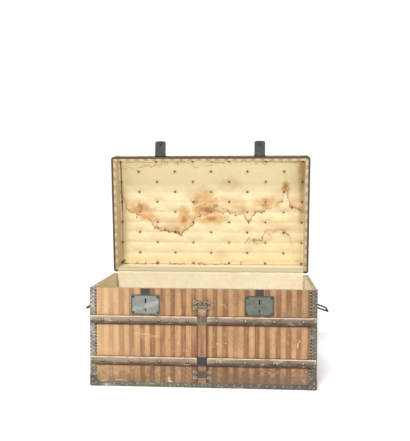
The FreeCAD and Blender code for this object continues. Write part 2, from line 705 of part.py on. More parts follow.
rivets = []
for side, middle in LOCKS:
    node(lock_plate(side + "_lock_plate", middle))
    node(lock_case(side + "_lock_case", middle))
    node(lock_bolt(side + "_lock_bolt", middle))
    for x_side, z_side in CORNERS:
        rivets.append(dome("%s_rivet_%d_%d" % (side, x_side, z_side), "rivet_head", "rivet_rise",
                           FRONTWARD, "%s + %d*(lock_width/2 - rivet_inset)" % (middle, x_side),
                           "%s - lock_thick" % FRONT,
                           "%s - lock_height/2 + %d*(lock_height/2 - rivet_inset)"
                           % (PLATE_TOP, z_side)))
node(together("lock_rivets", *rivets))
node(together("lock_rim_tabs", *[
    block(side + "_rim_tab", around(middle, "tab_width"), ("%s - leaf_thick" % FRONT, FRONT),
          (PLATE_TOP, "body_height - tape_thick")) for side, middle in LOCKS]))


# ---------------------------------------------------------------- hinges

HINGES = [(number, "%d*hinge_pitch" % number) for number in (-1, 0, 1)]


def knuckle(name, x, radius, y, z):
    return rod(name, "x", x, radius, y=y, z=z)


def pin_hole(name, middle, width, radius, y, z):
    return rod(name, "x", around(middle, "%s + 2" % width), radius, y=y, z=z)


def body_leaf(number, middle):
    """A leaf on the back of the body with two knuckles and a stop lug at each."""
    name = "body_leaf_%d" % number
    plate = prism(name + "_plate", "y",
                  oblong(around(middle, "hinge_width"),
                         ("body_height - hinge_leaf", "%s - knuckle_radius" % HINGE_Z)),
                  (BACK, "%s + leaf_thick" % BACK))
    pieces = [plate]
    for which, x_side in (("left", -1), ("right", 1)):
        near = "%s + %d*(knuckle_middle/2 + knuckle_gap)" % (middle, x_side)
        far = "%s + %d*hinge_width/2" % (middle, x_side)
        x = (far, near) if x_side < 0 else (near, far)
        pieces.append(knuckle("%s_knuckle_%s" % (name, which), x, "knuckle_radius", HINGE_Y,
                              HINGE_Z))
        pieces.append(block("%s_web_%s" % (name, which), x,
                            ("%s + leaf_thick/2" % BACK, HINGE_Y),
                            ("%s - 2*knuckle_radius" % HINGE_Z, "body_height - tape_thick")))
        pieces.append(block("%s_lug_%s" % (name, which), x, (HINGE_Y, "%s + lug_reach" % HINGE_Y),
                            (HINGE_Z, "%s + lug_rise" % HINGE_Z)))
    return cut(name, joined(name + "_whole", *pieces),
               pin_hole(name + "_hole", middle, "hinge_width", "hinge_pin", HINGE_Y, HINGE_Z))


def lid_leaf(number, middle):
    """A leaf on the back of the lid with the middle knuckle."""
    name = "lid_leaf_%d" % number
    foot = "%s + rim_leg + iron_gap" % LID_RIM
    plate = prism(name + "_plate", "y",
                  oblong(around(middle, "hinge_width"), (foot, "%s + hinge_leaf" % LID_RIM)),
                  (BACK, "%s + leaf_thick" % BACK))
    x = around(middle, "knuckle_middle")
    web = block(name + "_web", x,
                ("%s + edging_thick + knuckle_gap" % BACK, "%s - hinge_pin" % HINGE_Y),
                (HINGE_Z, "%s + leaf_thick" % foot))
    return cut(name, joined(name + "_whole", plate, web,
                            knuckle(name + "_knuckle", x, "knuckle_radius", HINGE_Y, HINGE_Z)),
               pin_hole(name + "_hole", middle, "knuckle_middle", "hinge_pin + pin_play",
                        HINGE_Y, HINGE_Z))


node(together("hinge_body_leaves", *[body_leaf(number, middle) for number, middle in HINGES]))
node(together("hinge_pins", *[
    rod("hinge_pin_%d" % number, "x", around(middle, "hinge_width + 2*leaf_thick"), "hinge_pin",
        y=HINGE_Y, z=HINGE_Z) for number, middle in HINGES]))
on_lid("hinge_lid_leaves", *[lid_leaf(number, middle) for number, middle in HINGES])

CLOTH_X = inner("body_width", "2*%s" % INSIDE)
CLOTH_Y = ("%s - %s - cloth_thick" % (BACK, INSIDE), "%s - %s" % (BACK, INSIDE))
node(block("hinge_cloth_body", CLOTH_X, CLOTH_Y, ("%s - cloth_height" % WALL_TOP, WALL_TOP)))
on_lid("hinge_cloth_lid", block("hinge_cloth_upper", CLOTH_X, CLOTH_Y,
                                (LID_FOOT, "%s + cloth_height" % LID_FOOT)))


# ---------------------------------------------------------------- lid: boards and roof

ROOF_SKIN = "(canvas_thick + stave_thick)"
ABOVE = (LID_FOOT, "%s + 1" % CROWN)
OPEN_ABOVE = ("body_height", "%s + 2" % CROWN)

lid_walls = cut("lid_walls",
                shared("lid_block", plan("lid_block_plan", "-canvas_thick", ABOVE),
                       under_roof("boards_under_roof", ROOF_SKIN)),
                square_plan("lid_walls_inside", WALL, OPEN_ABOVE))
LID_EDGE = "(body_height + lid_gap + lid_wall)"
lid_even = fingers("lid_even_fingers", 0, "lid_finger_count", LID_FOOT, LID_EDGE)
lid_odd = fingers("lid_odd_fingers", 1, "lid_finger_count", LID_FOOT, LID_EDGE)
for side, gaps in (("front", lid_odd), ("back", lid_odd), ("left", lid_even),
                   ("right", lid_even)):
    wall = shared("lid_%s_wall" % side, lid_walls,
                  strip("lid_%s_strip" % side, side, WALL, OPEN_ABOVE))
    on_lid("lid_%s_board" % side, cut("lid_%s_jointed" % side, wall, gaps))

roof_shell = cut("roof_shell",
                 shared("roof_block", plan("roof_plan", "-canvas_thick", ABOVE),
                        under_roof("roof_outside", "canvas_thick")),
                 under_roof("roof_inside", ROOF_SKIN))
STAVE = "((body_depth - 2*canvas_thick)/stave_count)"
stave_total = int(worth("stave_count"))
on_lid("roof_staves", *[
    shared("stave_%d" % number, roof_shell,
           block("stave_slice_%d" % number, FULL_X,
                 ("(%d - stave_count/2)*%s" % (number, STAVE),
                  "(%d - stave_count/2)*%s" % (number + 1, STAVE)), OPEN_ABOVE))
    for number in range(stave_total)])


# ---------------------------------------------------------------- lid: canvas, tape, iron, slats

lid_form = shared("lid_form", plan("lid_form_plan", "0", ABOVE), under_roof("lid_form_roof", "0"))
lid_core = shared("lid_core", plan("lid_core_plan", "-canvas_thick", OPEN_ABOVE),
                  under_roof("lid_core_roof", "canvas_thick"))
lid_cover = cut("lid_cover", lid_form, lid_core)
lid_end_panels = joined("lid_end_panels", *[
    block("lid_%s_panel" % side, x, BETWEEN_CORNERS, OPEN_ABOVE)
    for side, x in (("left", ("-body_width/2 - 1", "-body_width/2 + canvas_thick")),
                    ("right", ("body_width/2 - canvas_thick", "body_width/2 + 1")))])
lid_ends = shared("lid_ends", shared("lid_end_layers", lid_cover, lid_end_panels),
                  under_roof("ends_under_roof", "canvas_thick"))
on_lid("lid_end_canvas", lid_ends)
on_lid("lid_canvas", cut("lid_canvas_wrap", lid_cover, lid_ends))
on_lid("lid_rim_tape", cut("lid_tape_ring",
                           plan("lid_tape_outside", "0",
                                ("%s - tape_thick" % LID_FOOT, LID_FOOT)),
                           square_plan("lid_tape_inside", INSIDE, OPEN_ABOVE)))
on_lid("lid_rim_binding", cut("lid_binding_angle",
                              plan("binding_outside", "edging_thick",
                                   (LID_RIM, "%s + rim_leg" % LID_RIM)),
                              plan("binding_inside", "0",
                                   ("%s + edging_thick" % LID_RIM, "%s + lid_wall" % LID_RIM)),
                              plan("binding_opening", "-rim_flange",
                                   ("body_height", LID_EDGE))))


# ---------------------------------------------------------------- lid: edging and slats

lid_skin = cut("lid_skin",
               shared("lid_skin_outside",
                      plan("lid_skin_plan", "edging_thick",
                           ("%s + rim_leg + iron_gap" % LID_RIM, "%s + 5" % CROWN)),
                      under_roof("lid_skin_roof", "-edging_thick")),
               lid_form)
lid_middle = block("lid_middle", inner("body_width", "arch_edging"), FULL_Y, OPEN_ABOVE)
lid_windows = shared("lid_windows",
                     block("lid_window_block", FULL_X, inner("body_depth", "arch_edging"),
                           ("body_height", CROWN)),
                     under_roof("windows_under_roof", "arch_edging"))
lid_edging_closed = cut("lid_edging_closed", lid_skin, lid_middle, lid_windows)
on_lid("lid_edging", lid_edging_closed)

ROOF_AXIS = "(%s - %s)" % (CROWN, ROOF_RADIUS)
ROOF_STEP = "asin(roof_slat_pitch/%s)" % ROOF_RADIUS
ROOF_LEANS = (("front", "360 deg - %s" % ROOF_STEP), ("middle", "0 deg"), ("back", ROOF_STEP))
slat_z = ("(%s - 1)" % CROWN, "(%s + slat_thick)" % CROWN)
roof_outline = [("-slat_height/2", slat_z[0]), ("slat_height/2", slat_z[0]),
                ("slat_height/2", "%s - slat_bevel" % slat_z[1]),
                ("slat_height/2 - slat_bevel", slat_z[1]),
                ("slat_bevel - slat_height/2", slat_z[1]),
                ("-slat_height/2", "%s - slat_bevel" % slat_z[1])]
roof_slats = []
roof_nails = []
for place, lean in ROOF_LEANS:
    name = "roof_slat_" + place
    blank = cut(name, prism(name + "_blank", "x", roof_outline, WHOLE),
                under_roof(name + "_seat", "0"))
    roof_slats.append(cut(name + "_fitted", swung(name + "_leaned", lean, "0", ROOF_AXIS, blank),
                          lid_edging_closed))
    roof_nails.append(swung(name + "_nails_leaned", lean, "0", ROOF_AXIS,
                            *nail_row(name + "_nail", UPWARD, "0", slat_z[1])))
on_lid("roof_slats", *roof_slats)
on_lid("roof_slat_nails", *roof_nails)


# ---------------------------------------------------------------- lid: lining, pad and tacks

on_lid("lid_wall_lining", cut("lid_lining_ring",
                              shared("lid_lining_outside",
                                     square_plan("lid_lining_block", WALL, ABOVE),
                                     under_roof("lining_under_roof", ROOF_SKIN)),
                              square_plan("lid_lining_inside", INSIDE, OPEN_ABOVE)))

PAD_HALF = "(body_depth/2 - %s)" % INSIDE
PAD_RADIUS = "((%s^2 + pad_crown^2)/(2*pad_crown))" % PAD_HALF
PAD_EDGE = "(%s + pad_drop)" % LID_RIM
PAD_AXIS = "(%s + pad_crown - %s)" % (PAD_EDGE, PAD_RADIUS)
on_lid("ceiling_pad", cut("pad_quilt",
                          shared("pad_block",
                                 square_plan("pad_outside", INSIDE, (PAD_EDGE, CROWN)),
                                 under_roof("pad_under_roof", ROOF_SKIN)),
                          rod("pad_hollow", "x", FULL_X, PAD_RADIUS, y="0", z=PAD_AXIS)))


def tack_line(inside, count, number, half):
    """The place of one tack of a row, between the outer tacks; half a step on if so asked."""
    reach = "(%s - tack_inset)" % inside
    return "%s*(2*(%d + %s)/(%s - 1) - 1)" % (reach, number, half, count)


tacks = []
for half in ("0", "0.5"):
    fewer = 1 if half == "0.5" else 0
    for row in range(int(worth("tack_rows")) - fewer):
        for column in range(int(worth("tack_columns")) - fewer):
            y = tack_line(PAD_HALF, "tack_rows", row, half)
            x = tack_line("(body_width/2 - %s)" % INSIDE, "tack_columns", column, half)
            lean = "180 deg - asin(%s/%s)" % (y, PAD_RADIUS)
            off = "(%s - tack_play)" % PAD_RADIUS
            tacks.append(stud("tack_%d_%d_%d" % (fewer, row, column), "tack_head", "tack_rise",
                              lean, x, "%s*%s/%s" % (y, off, PAD_RADIUS),
                              "%s + %s*cos(asin(%s/%s))" % (PAD_AXIS, off, y, PAD_RADIUS)))
on_lid("lining_tacks", *tacks)


# ---------------------------------------------------------------- hasps

HASP_Y = "(%s - hasp_stand)" % FRONT
HASP_Z = "(%s + hasp_pin_rise)" % LID_RIM
HASP_FACE = "(%s - lock_thick - hasp_clear)" % FRONT


def hasp(name, middle):
    """A hasp with round lower corners, its knuckle and the staple that enters the lock."""
    thick = ("%s - hasp_thick" % HASP_FACE, HASP_FACE)
    blank = prism(name + "_blank", "y",
                  oblong(around(middle, "hasp_width"),
                         ("%s - hasp_length" % HASP_Z, "%s - hasp_neck" % HASP_Z)), thick)
    document.recompute()
    low = worth("%s - hasp_length/2" % HASP_Z)
    eased(blank, "Fillet", "hasp_corner",
          lambda edge: runs("y")(edge) and edge.CenterOfMass.z < low)
    x = around(middle, "hasp_middle")
    tongue = block(name + "_tongue", x, thick, ("%s - hasp_neck - 1" % HASP_Z, HASP_Z))
    fin = block(name + "_fin", around(middle, "staple_thick"),
                ("%s - hasp_thick/2" % HASP_FACE, "%s + staple_reach" % FRONT),
                around(SLOT_Z, "staple_height"))
    eye = block(name + "_eye", around(middle, "staple_thick + 2"),
                around(BOLT_Y, "bolt_thick + 2*eye_play"),
                around(SLOT_Z, "bolt_height + 2*eye_play"))
    return cut(name + "_flat", joined(name + "_whole", blank, tongue, fin,
                                      knuckle(name + "_knuckle", x, "hasp_knuckle", HASP_Y,
                                              HASP_Z)),
               eye, pin_hole(name + "_hole", middle, "hasp_middle", "hasp_pin + pin_play",
                             HASP_Y, HASP_Z))


def hasp_leaf(name, middle):
    """The leaf on the lid with two knuckles and a stop over each shoulder of the hasp."""
    foot = "(%s + rim_leg + iron_gap)" % LID_RIM
    plate = prism(name + "_plate", "y",
                  oblong(around(middle, "hasp_width"), (foot, "%s + hasp_leaf" % foot)),
                  ("%s - leaf_thick" % FRONT, FRONT))
    pieces = [plate]
    for which, x_side in (("left", -1), ("right", 1)):
        near = "%s + %d*(hasp_middle/2 + knuckle_gap)" % (middle, x_side)
        far = "%s + %d*hasp_width/2" % (middle, x_side)
        x = (far, near) if x_side < 0 else (near, far)
        pieces.append(knuckle("%s_knuckle_%s" % (name, which), x, "hasp_knuckle", HASP_Y, HASP_Z))
        pieces.append(block("%s_web_%s" % (name, which), x,
                            (HASP_Y, "%s - edging_thick - knuckle_gap" % FRONT),
                            (HASP_Z, "%s + leaf_thick" % foot)))
        pieces.append(block("%s_stop_%s" % (name, which), x,
                            ("%s - hasp_lug_reach" % HASP_Y, HASP_Y),
                            ("%s + hasp_lug_rise" % HASP_Z, "%s + hasp_knuckle" % HASP_Z)))
    return cut(name, joined(name + "_whole", *pieces),
               pin_hole(name + "_hole", middle, "hasp_width", "hasp_pin", HASP_Y, HASP_Z))


for side, middle in LOCKS:
    name = side + "_hasp"
    on_lid(name, swung(name + "_raised", "hasp_angle", HASP_Y, HASP_Z, hasp(name, middle)))
on_lid("hasp_leaves", *[hasp_leaf(side + "_hasp_leaf", middle) for side, middle in LOCKS])
on_lid("hasp_pins", *[
    rod(side + "_hasp_pin", "x", around(middle, "hasp_width + 2*leaf_thick"), "hasp_pin",
        y=HASP_Y, z=HASP_Z) for side, middle in LOCKS])


# ---------------------------------------------------------------- handles

EAR_NEAR = "(handle_span/2 + handle_radius + ear_gap)"
EAR_FAR = "(%s + ear_thick)" % EAR_NEAR
HANDLE_X = "(body_width/2 + handle_stand)"


def bail(name):
    """A round iron bar bent to a bail, its trunnions along Y and its grip out at +X."""
    arm = "(handle_span/2)"
    near_side = [("0", "-(%s + trunnion_end)" % EAR_FAR), ("0", "-(%s + handle_elbow)" % arm),
                 ("handle_elbow", "-" + arm), ("handle_reach - handle_bend", "-" + arm),
                 ("handle_reach", "-(%s - handle_bend)" % arm)]
    path = near_side + [(x, y[1:]) for x, y in reversed(near_side)]
    bends = {1: ("handle_elbow", 2, 1), 3: ("handle_bend", 3, 4), 5: ("handle_bend", 6, 5),
             7: ("handle_elbow", 7, 8)}

    body = document.addObject("PartDesign::Body", name)
    spine = body.newObject("Sketcher::SketchObject", name + "_line")
    lay(spine, body, "z")
    points = [FreeCAD.Vector(worth(x), worth(y)) for x, y in path]
    for number, near in enumerate(points[:-1]):
        far = points[number + 1]
        if number not in bends:
            spine.addGeometry(Part.LineSegment(near, far), False)
            for end, (x, y) in ((1, path[number]), (2, path[number + 1])):
                place_point(spine, number, end, x, y)
            continue
        radius, x_from, y_from = bends[number]
        middle = FreeCAD.Vector(points[x_from].x, points[y_from].y)
        crown = middle + ((near + far) * 0.5 - middle).normalize() * worth(radius)
        leftward = (near - middle).cross(far - middle).z > 0
        ends = (near, far) if leftward else (far, near)
        spine.addGeometry(Part.Arc(ends[0], crown, ends[1]), False)
    for number, (radius, x_from, y_from) in bends.items():
        leftward = radius == "handle_bend"
        spine.addConstraint(Sketcher.Constraint("Coincident", number - 1, 2, number,
                                                1 if leftward else 2))
        spine.addConstraint(Sketcher.Constraint("Coincident", number + 1, 1, number,
                                                2 if leftward else 1))
        bound(spine, Sketcher.Constraint("Radius", number, worth(radius)), radius)

    section = body.newObject("Sketcher::SketchObject", name + "_section")
    lay(section, body, "y")
    tie(section, AttachmentOffset__Base__z="%s + trunnion_end" % EAR_FAR)
    section.addGeometry(Part.Circle(FreeCAD.Vector(), FreeCAD.Vector(0, 0, 1),
                                    worth("handle_radius")), False)
    section.addConstraint(Sketcher.Constraint("Coincident", 0, 3, -1, 1))
    bound(section, Sketcher.Constraint("Radius", 0, worth("handle_radius")), "handle_radius")
    pipe = body.newObject("PartDesign::AdditivePipe", name + "_bar")
    pipe.Profile = section
    pipe.Spine = spine
    body.Placement.Rotation = FreeCAD.Rotation(FreeCAD.Vector(0, 1, 0), 30)
    return tie(body, Placement__Base__x=HANDLE_X, Placement__Base__z="handle_height",
               Placement__Rotation__Angle="handle_angle")


def mirrored(name, source):
    """The same piece on the other side of the middle."""
    mirror = document.addObject("Part::Mirroring", name)
    mirror.Source = source
    mirror.Normal = FreeCAD.Vector(1, 0, 0)
    return mirror


def handle_plate(name):
    """A plate on the right end with two ears for the bail."""
    plate = prism(name + "_plate", "x",
                  oblong(around("0", "2*(%s + handle_plate_margin)" % EAR_FAR),
                         around("handle_height", "handle_plate_height")),
                  ("body_width/2", "body_width/2 + leaf_thick"))
    eased(plate, "Fillet", "ear_radius", runs("x"))
    pieces = [plate]
    for which, y in (("front", ("-" + EAR_FAR, "-" + EAR_NEAR)), ("back", (EAR_NEAR, EAR_FAR))):
        pieces.append(rod("%s_ear_%s" % (name, which), "y", y, "ear_radius", x=HANDLE_X,
                          z="handle_height"))
        pieces.append(block("%s_neck_%s" % (name, which), ("body_width/2 + leaf_thick/2", HANDLE_X),
                            y, around("handle_height", "2*ear_radius")))
    return cut(name, joined(name + "_whole", *pieces),
               rod(name + "_hole", "y", inner("0", "-(%s + 1)" % EAR_FAR),
                   "handle_radius + pin_play", x=HANDLE_X, z="handle_height"))


right_plate = handle_plate("right_handle_plate")
node(together("handle_plates", right_plate, mirrored("left_handle_plate", right_plate)))
right_handle = node(bail("right_handle"))
node(mirrored("left_handle", right_handle))


# ---------------------------------------------------------------- check and write

document.recompute()
troubled = [item.Name for item in document.Objects
            if "Invalid" in item.State or "Error" in item.State]
if troubled:
    raise RuntimeError("failed to build: " + ", ".join(troubled))

os.makedirs("parts", exist_ok=True)
for piece in nodes:
    if piece.Shape.isNull() or not piece.Shape.isValid() or not piece.Shape.Solids:
        raise RuntimeError("bad shape: " + piece.Label)
    piece.Shape.exportStep("parts/%s.step" % piece.Label)
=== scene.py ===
import functools
import json
import math

import bmesh
import bpy
import numpy as np
from mathutils import Matrix


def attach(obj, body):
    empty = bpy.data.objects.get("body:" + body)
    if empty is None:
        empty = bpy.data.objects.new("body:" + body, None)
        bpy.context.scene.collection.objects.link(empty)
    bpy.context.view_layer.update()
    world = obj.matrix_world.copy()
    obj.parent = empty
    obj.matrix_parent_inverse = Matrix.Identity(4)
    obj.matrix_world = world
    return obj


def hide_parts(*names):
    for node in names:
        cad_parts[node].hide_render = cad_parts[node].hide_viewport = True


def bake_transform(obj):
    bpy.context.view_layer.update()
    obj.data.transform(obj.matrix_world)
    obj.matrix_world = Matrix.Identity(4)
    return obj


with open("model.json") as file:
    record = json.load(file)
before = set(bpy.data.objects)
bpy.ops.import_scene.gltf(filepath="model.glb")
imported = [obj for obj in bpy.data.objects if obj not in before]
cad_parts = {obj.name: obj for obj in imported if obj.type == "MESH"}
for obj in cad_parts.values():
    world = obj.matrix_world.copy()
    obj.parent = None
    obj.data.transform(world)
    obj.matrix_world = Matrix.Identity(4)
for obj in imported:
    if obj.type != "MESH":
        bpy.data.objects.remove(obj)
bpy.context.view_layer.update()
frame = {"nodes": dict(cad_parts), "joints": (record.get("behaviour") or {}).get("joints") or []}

bl_info = {
    "name": "Dome Top Trunk",
    "version": (1, 0, 0),
    "blender": (4, 5, 0),
    "location": "3D View > Sidebar > Trunk",
    "description": "Covers the trunk's frame in striped canvas, iron, hardwood, leather and a "
                   "quilted lining",
    "category": "Object",
}

# Lengths are in metres. The lid's pieces are worked out as they lie on the closed trunk
# and are then turned back about the hinge line, as opened() says.
MM = 0.001
LID_JOINT = {joint["name"]: joint for joint in frame["joints"]}["lid_hinge"]
HINGE_Y, HINGE_Z = LID_JOINT["pos_m"][1:]
LID_ANGLE = math.radians(LID_JOINT["range_deg"][1])
HALF_X, HALF_Y, CORNER = 450 * MM, 266 * MM, 11 * MM
FLAT_X, FLAT_Y = HALF_X - CORNER, HALF_Y - CORNER
INSIDE_X, INSIDE_Y = 432 * MM, 248 * MM
CLOTH, LINING, TIN, SLACK = 1.2 * MM, 1.8 * MM, 1 * MM, 0.25 * MM
RIM, LID_FOOT, CROWN = 396 * MM, 398.8 * MM, 533.8 * MM
ROOF_RADIUS = 863.3 * MM
PAD_RADIUS, PAD_AXIS = 1293.3 * MM, -788.5 * MM
LOCKS, LOCK_MIDDLE, LOCK_FACE = (-225 * MM, 225 * MM), 330.5 * MM, HALF_Y + 2.5 * MM
LOCK_HOLE, LOCK_SIDES = (297.7 * MM, 360.3 * MM), (-43.3 * MM, 20.3 * MM)
SLAT_ROWS, ROOF_SLAT_PITCH = (91 * MM, 255 * MM), 165 * MM
SLAT_HEIGHT, SLAT_THICK, SLAT_BEVEL = 31 * MM, 9.5 * MM, 3 * MM
NAILS = (57, 170, 283, 396, 440)
NET_PITCH, TACK_STEPS = 15 * MM, (169.6 * MM, 96 * MM)
PIN_SEAT, CAP_SEAT, PIN_GAP = 0.9 * MM, 1.8 * MM, 3 * MM
TIN_LINE, FOOT_LINE, LID_LINE, BINDING_LINE = 26.5 * MM, 12 * MM, 20.5 * MM, 404 * MM
EACH_CORNER = ((-1, -1), (-1, 1), (1, -1), (1, 1))
# Bare chips in the front canvas, in millimetres: x, z, half width and half height.
CHIPS = ((-131, 28, 4, 17), (-125, 22, 9, 8), (375, 176, 3, 12), (382, 192, 5, 4),
         (-230, 212, 26, 1.6), (-262, 216, 16, 1.6), (-190, 205, 20, 1.4), (60, 178, 7, 2.6),
         (92, 181, 8, 2), (-395, 22, 14, 2.4), (-330, 26, 20, 1.6), (28, 66, 4, 3),
         (180, 350, 3, 4))
# Over the ceiling, in millimetres of the closed lid's x and y: the main tide line, the mark in
# the right rear corner and the line along the front.
TIDE = ((-432, -100), (-421, -70), (-400, -22), (-386, -7), (-371, 1), (-348, 12), (-322, 22),
        (-295, 33), (-264, 72), (-240, 84), (-210, 90), (-149, 97), (-120, 88), (-103, 72),
        (-80, 40), (-62, 16), (-19, 2), (34, -3), (80, 2), (119, 9), (150, 10), (172, 41),
        (203, 9), (241, -3), (279, -23), (310, -39), (333, -56), (347, -96), (368, -27),
        (390, -15), (432, 0))
ARCH = ((-432, 240), (148, 240), (152, 178), (158, 140), (172, 134), (238, 128), (248, 102),
        (264, 89), (318, 84), (358, 100), (379, 136), (392, 200), (432, 240))
FRONT_LINE = ((-432, -205), (-310, -214), (-240, -226), (-140, -241), (-80, -221), (20, -232),
              (120, -240), (240, -236), (330, -243), (432, -238))
# Brown stains of the ceiling, in millimetres: x, y, half width and half height.
FAINT_STAINS = ((90, -140, 60, 40), (120, -40, 80, 30), (-60, -90, 60, 30), (-150, 50, 80, 30),
                (300, 60, 80, 30), (50, 200, 50, 20))
SOFT_STAINS = ((-29, -58, 62, 38), (0, 26, 72, 36), (-68, -8, 22, 40), (-128, 12, 32, 45),
               (-335, -20, 55, 30), (265, -45, 60, 26), (345, -120, 26, 24), (-300, 20, 50, 20))
DEEP_STAINS = ((-12, -12, 44, 10), (2, 30, 28, 12), (-130, 34, 14, 14), (-74, -46, 14, 12),
               (22, -32, 14, 12), (-335, -28, 12, 18), (345, -125, 12, 12), (250, -35, 16, 8))
# Folded places of the ceiling, in millimetres: x, y, half width and half height; their creases
# are painted shade.
FOLDED = ((-30, -55, 55, 40), (-128, 12, 35, 50))
# Aged iron: base coat, rust, pale flecks, how metallic, how rough, size of the spots in metres
# and share of the flecks. The first two take their base coat from the colour settings.
IRONS = {
    "dark iron": (None, (82, 62, 48), (132, 130, 124), 0.55, 0.5, 0.02, 0.35),
    # Cast iron: its dark base coat stands for painted shade in the hollows of the relief, and its
    # pale tone on the raised parts is wear and painted light.
    "cast iron": (None, (80, 58, 42), (200, 176, 146), 0.2, 0.5, 0.008, 0.3),
    "cap iron": ((92, 92, 80), (70, 62, 48), (150, 150, 134), 0.4, 0.5, 0.02, 0.3),
    "keeper iron": ((112, 100, 84), (96, 76, 60), (160, 148, 128), 0.3, 0.5, 0.02, 0.3),
    "blued iron": ((56, 60, 68), (70, 62, 58), (96, 104, 118), 0.4, 0.42, 0.02, 0.3),
    # Nail iron is painted pale: a painted highlight on the small domed heads.
    "nail iron": ((178, 168, 148), (110, 90, 68), (240, 234, 220), 0.6, 0.3, 0.006, 0.3),
    "rivet iron": ((58, 58, 52), (70, 56, 44), (150, 150, 140), 0.6, 0.38, 0.006, 0.4),
    "tack metal": ((30, 24, 18), (40, 28, 18), (70, 60, 46), 0.1, 0.6, 0.005, 0.3),
    "lock steel": ((120, 118, 112), (96, 78, 60), (180, 178, 170), 0.8, 0.38, 0.02, 0.3),
    "tab iron": ((66, 60, 52), (56, 44, 34), (142, 134, 118), 0.3, 0.5, 0.006, 0.5),
    "binding iron": ((86, 76, 64), (92, 64, 46), (150, 138, 118), 0.4, 0.5, 0.012, 0.3),
    "hasp iron": ((72, 74, 68), (52, 50, 44), (124, 126, 116), 0.4, 0.5, 0.009, 0.3),
}


def linear(red, green, blue):
    """A screen colour from 0 to 255 as linear light: ((c + 0.055) / 1.055) ^ 2.4."""
    share = np.array([red, green, blue]) / 255
    return tuple(np.where(share > 0.04045, ((share + 0.055) / 1.055) ** 2.4, share / 12.92))


# ---------------------------------------------------------------- settings

def length(name, note, default, low, high):
    return bpy.props.FloatProperty(name=name, description=note, default=default, min=low,
                                   max=high, unit="LENGTH", subtype="DISTANCE", precision=4)


def colour(name, note, *tone):
    return bpy.props.FloatVectorProperty(name=name, description=note, size=3, min=0, max=1,
                                         subtype="COLOR", default=linear(*tone))


class TrunkSizes(bpy.types.PropertyGroup):
    stripe_pitch: length("Stripe pitch", "From one brown stripe to the next", 0.0413, 0.005, 0.2)
    stripe_start: length("Stripe start", "Middle of a brown stripe", 0.0090, -0.2, 0.2)
    thread: length("Thread", "Pitch of the canvas weave", 0.0012, 0.0004, 0.01)
    slat_round: length("Slat rounding", "Radius worn on slat edges", 0.0016, 0.0002, 0.004)
    slat_bow: length("Slat bow", "How far the slats' edges wander", 0.0005, 0, 0.003)
    nail_head: length("Nail head", "Radius of the nails in the slats", 0.0046, 0.001, 0.01)
    nail_rise: length("Nail rise", "Height of the nails in the slats", 0.0026, 0.0005, 0.006)
    pin_pitch: length("Pin pitch", "Between the pins of the iron edging", 0.0125, 0.004, 0.1)
    puff: length("Quilt puff", "How far the ceiling swells between its tacks", 0.0080, 0, 0.02)
    tuck: length("Quilt tuck", "How deep the tacks draw the quilt in", 0.0022, 0, 0.01)
    bead: length("Bead", "Radius of the beads on the iron caps", 0.0013, 0.0003, 0.004)


class TrunkColours(bpy.types.PropertyGroup):
    stripe_tan: colour("Tan stripe", "Light stripe of the canvas", 200, 156, 108)
    stripe_brown: colour("Brown stripe", "Dark stripe of the canvas", 140, 98, 66)
    lining: colour("Lining", "Cotton of the lining and the quilt", 247, 233, 192)
    stain: colour("Stain", "Water marks in the lining", 136, 90, 48)
    tape: colour("Tape", "Tape over the rim", 190, 174, 144)
    wood: colour("Slat", "Weathered hardwood of the slats", 136, 114, 90)
    # The worn edge tone is bare wood, and on the slats' upper edges also a painted highlight.
    worn: colour("Worn edge", "Bare wood on the edges of the slats", 240, 216, 190)
    board: colour("Board", "Raw boards and staves", 176, 138, 96)
    leather: colour("Leather", "Centre strap", 150, 108, 78)
    iron: colour("Iron", "Dark iron of the hinges and handles", 62, 60, 56)
    edging: colour("Edging", "Tinned edging", 202, 194, 178)
    plate: colour("Lock plate", "Grey green plate of the locks", 120, 126, 116)
    cast: colour("Cast iron", "Cast plates of the strap", 104, 90, 76)


def tones():
    return bpy.context.scene.trunk_colours


def sizes():
    return bpy.context.scene.trunk_sizes


# ---------------------------------------------------------------- tools for meshes

def stacked(*axes):
    """Points from their coordinates, each of which is an array or one number for all."""
    return np.stack(np.broadcast_arrays(*axes), -1)


def unit(ways):
    return ways / np.linalg.norm(ways, axis=-1, keepdims=True)


def plan(x, y):
    """Every pair of an x and a y, as two grids."""
    return np.meshgrid(x, y, indexing="ij")


def opened(points):
    """Points of the closed lid turned back about the hinge line: with y and z measured from it,
    y' = y cos a + z sin a and z' = z cos a - y sin a."""
    y, z = points[..., 1] - HINGE_Y, points[..., 2] - HINGE_Z
    c, s = math.cos(LID_ANGLE), math.sin(LID_ANGLE)
    return stacked(points[..., 0], HINGE_Y + y * c + z * s, HINGE_Z + z * c - y * s)


def ripple(a, b, seed=0.0):
    """A slow unevenness between 0 and 1: the mean of three sines of mixed directions."""
    return 0.5 + (np.sin(31 * a + 9 * b + seed) + np.sin(17 * b - 23 * a + 2.1 * seed)
                  + np.sin(57 * a + 41 * b + 3.7 * seed)) / 6


def bell(far, width):
    """exp(-(far / width)^2)."""
    return np.exp(-(far / width) ** 2)


def net(a, b):
    """How near the crossings of the pressed net are, from 0 to 1: a bell 2.8 mm wide over the
    distance to the nearest crossing of two square nets, half a step apart."""
    far = [np.hypot((a / NET_PITCH + shift) % 1 - 0.5, (b / NET_PITCH + shift) % 1 - 0.5)
           for shift in (0, 0.5)]
    return bell(np.minimum(*far) * NET_PITCH, 2.8 * MM)


def roof(y):
    """Height of the arched roof at a depth y: axis + sqrt(R^2 - y^2)."""
    return CROWN - ROOF_RADIUS + np.sqrt(ROOF_RADIUS ** 2 - y ** 2)


def pad(y):
    """Height of the ceiling's arch at a depth y: axis + sqrt(R^2 - y^2)."""
    return PAD_AXIS + np.sqrt(PAD_RADIUS ** 2 - y ** 2)


def walked(path):
    """The way along a path from its start."""
    return np.concatenate([[0], np.cumsum(np.linalg.norm(np.diff(path, axis=0), axis=1))])


def travelled(path):
    """The way along a path from its middle."""
    way = walked(path)
    return way - way[-1] / 2


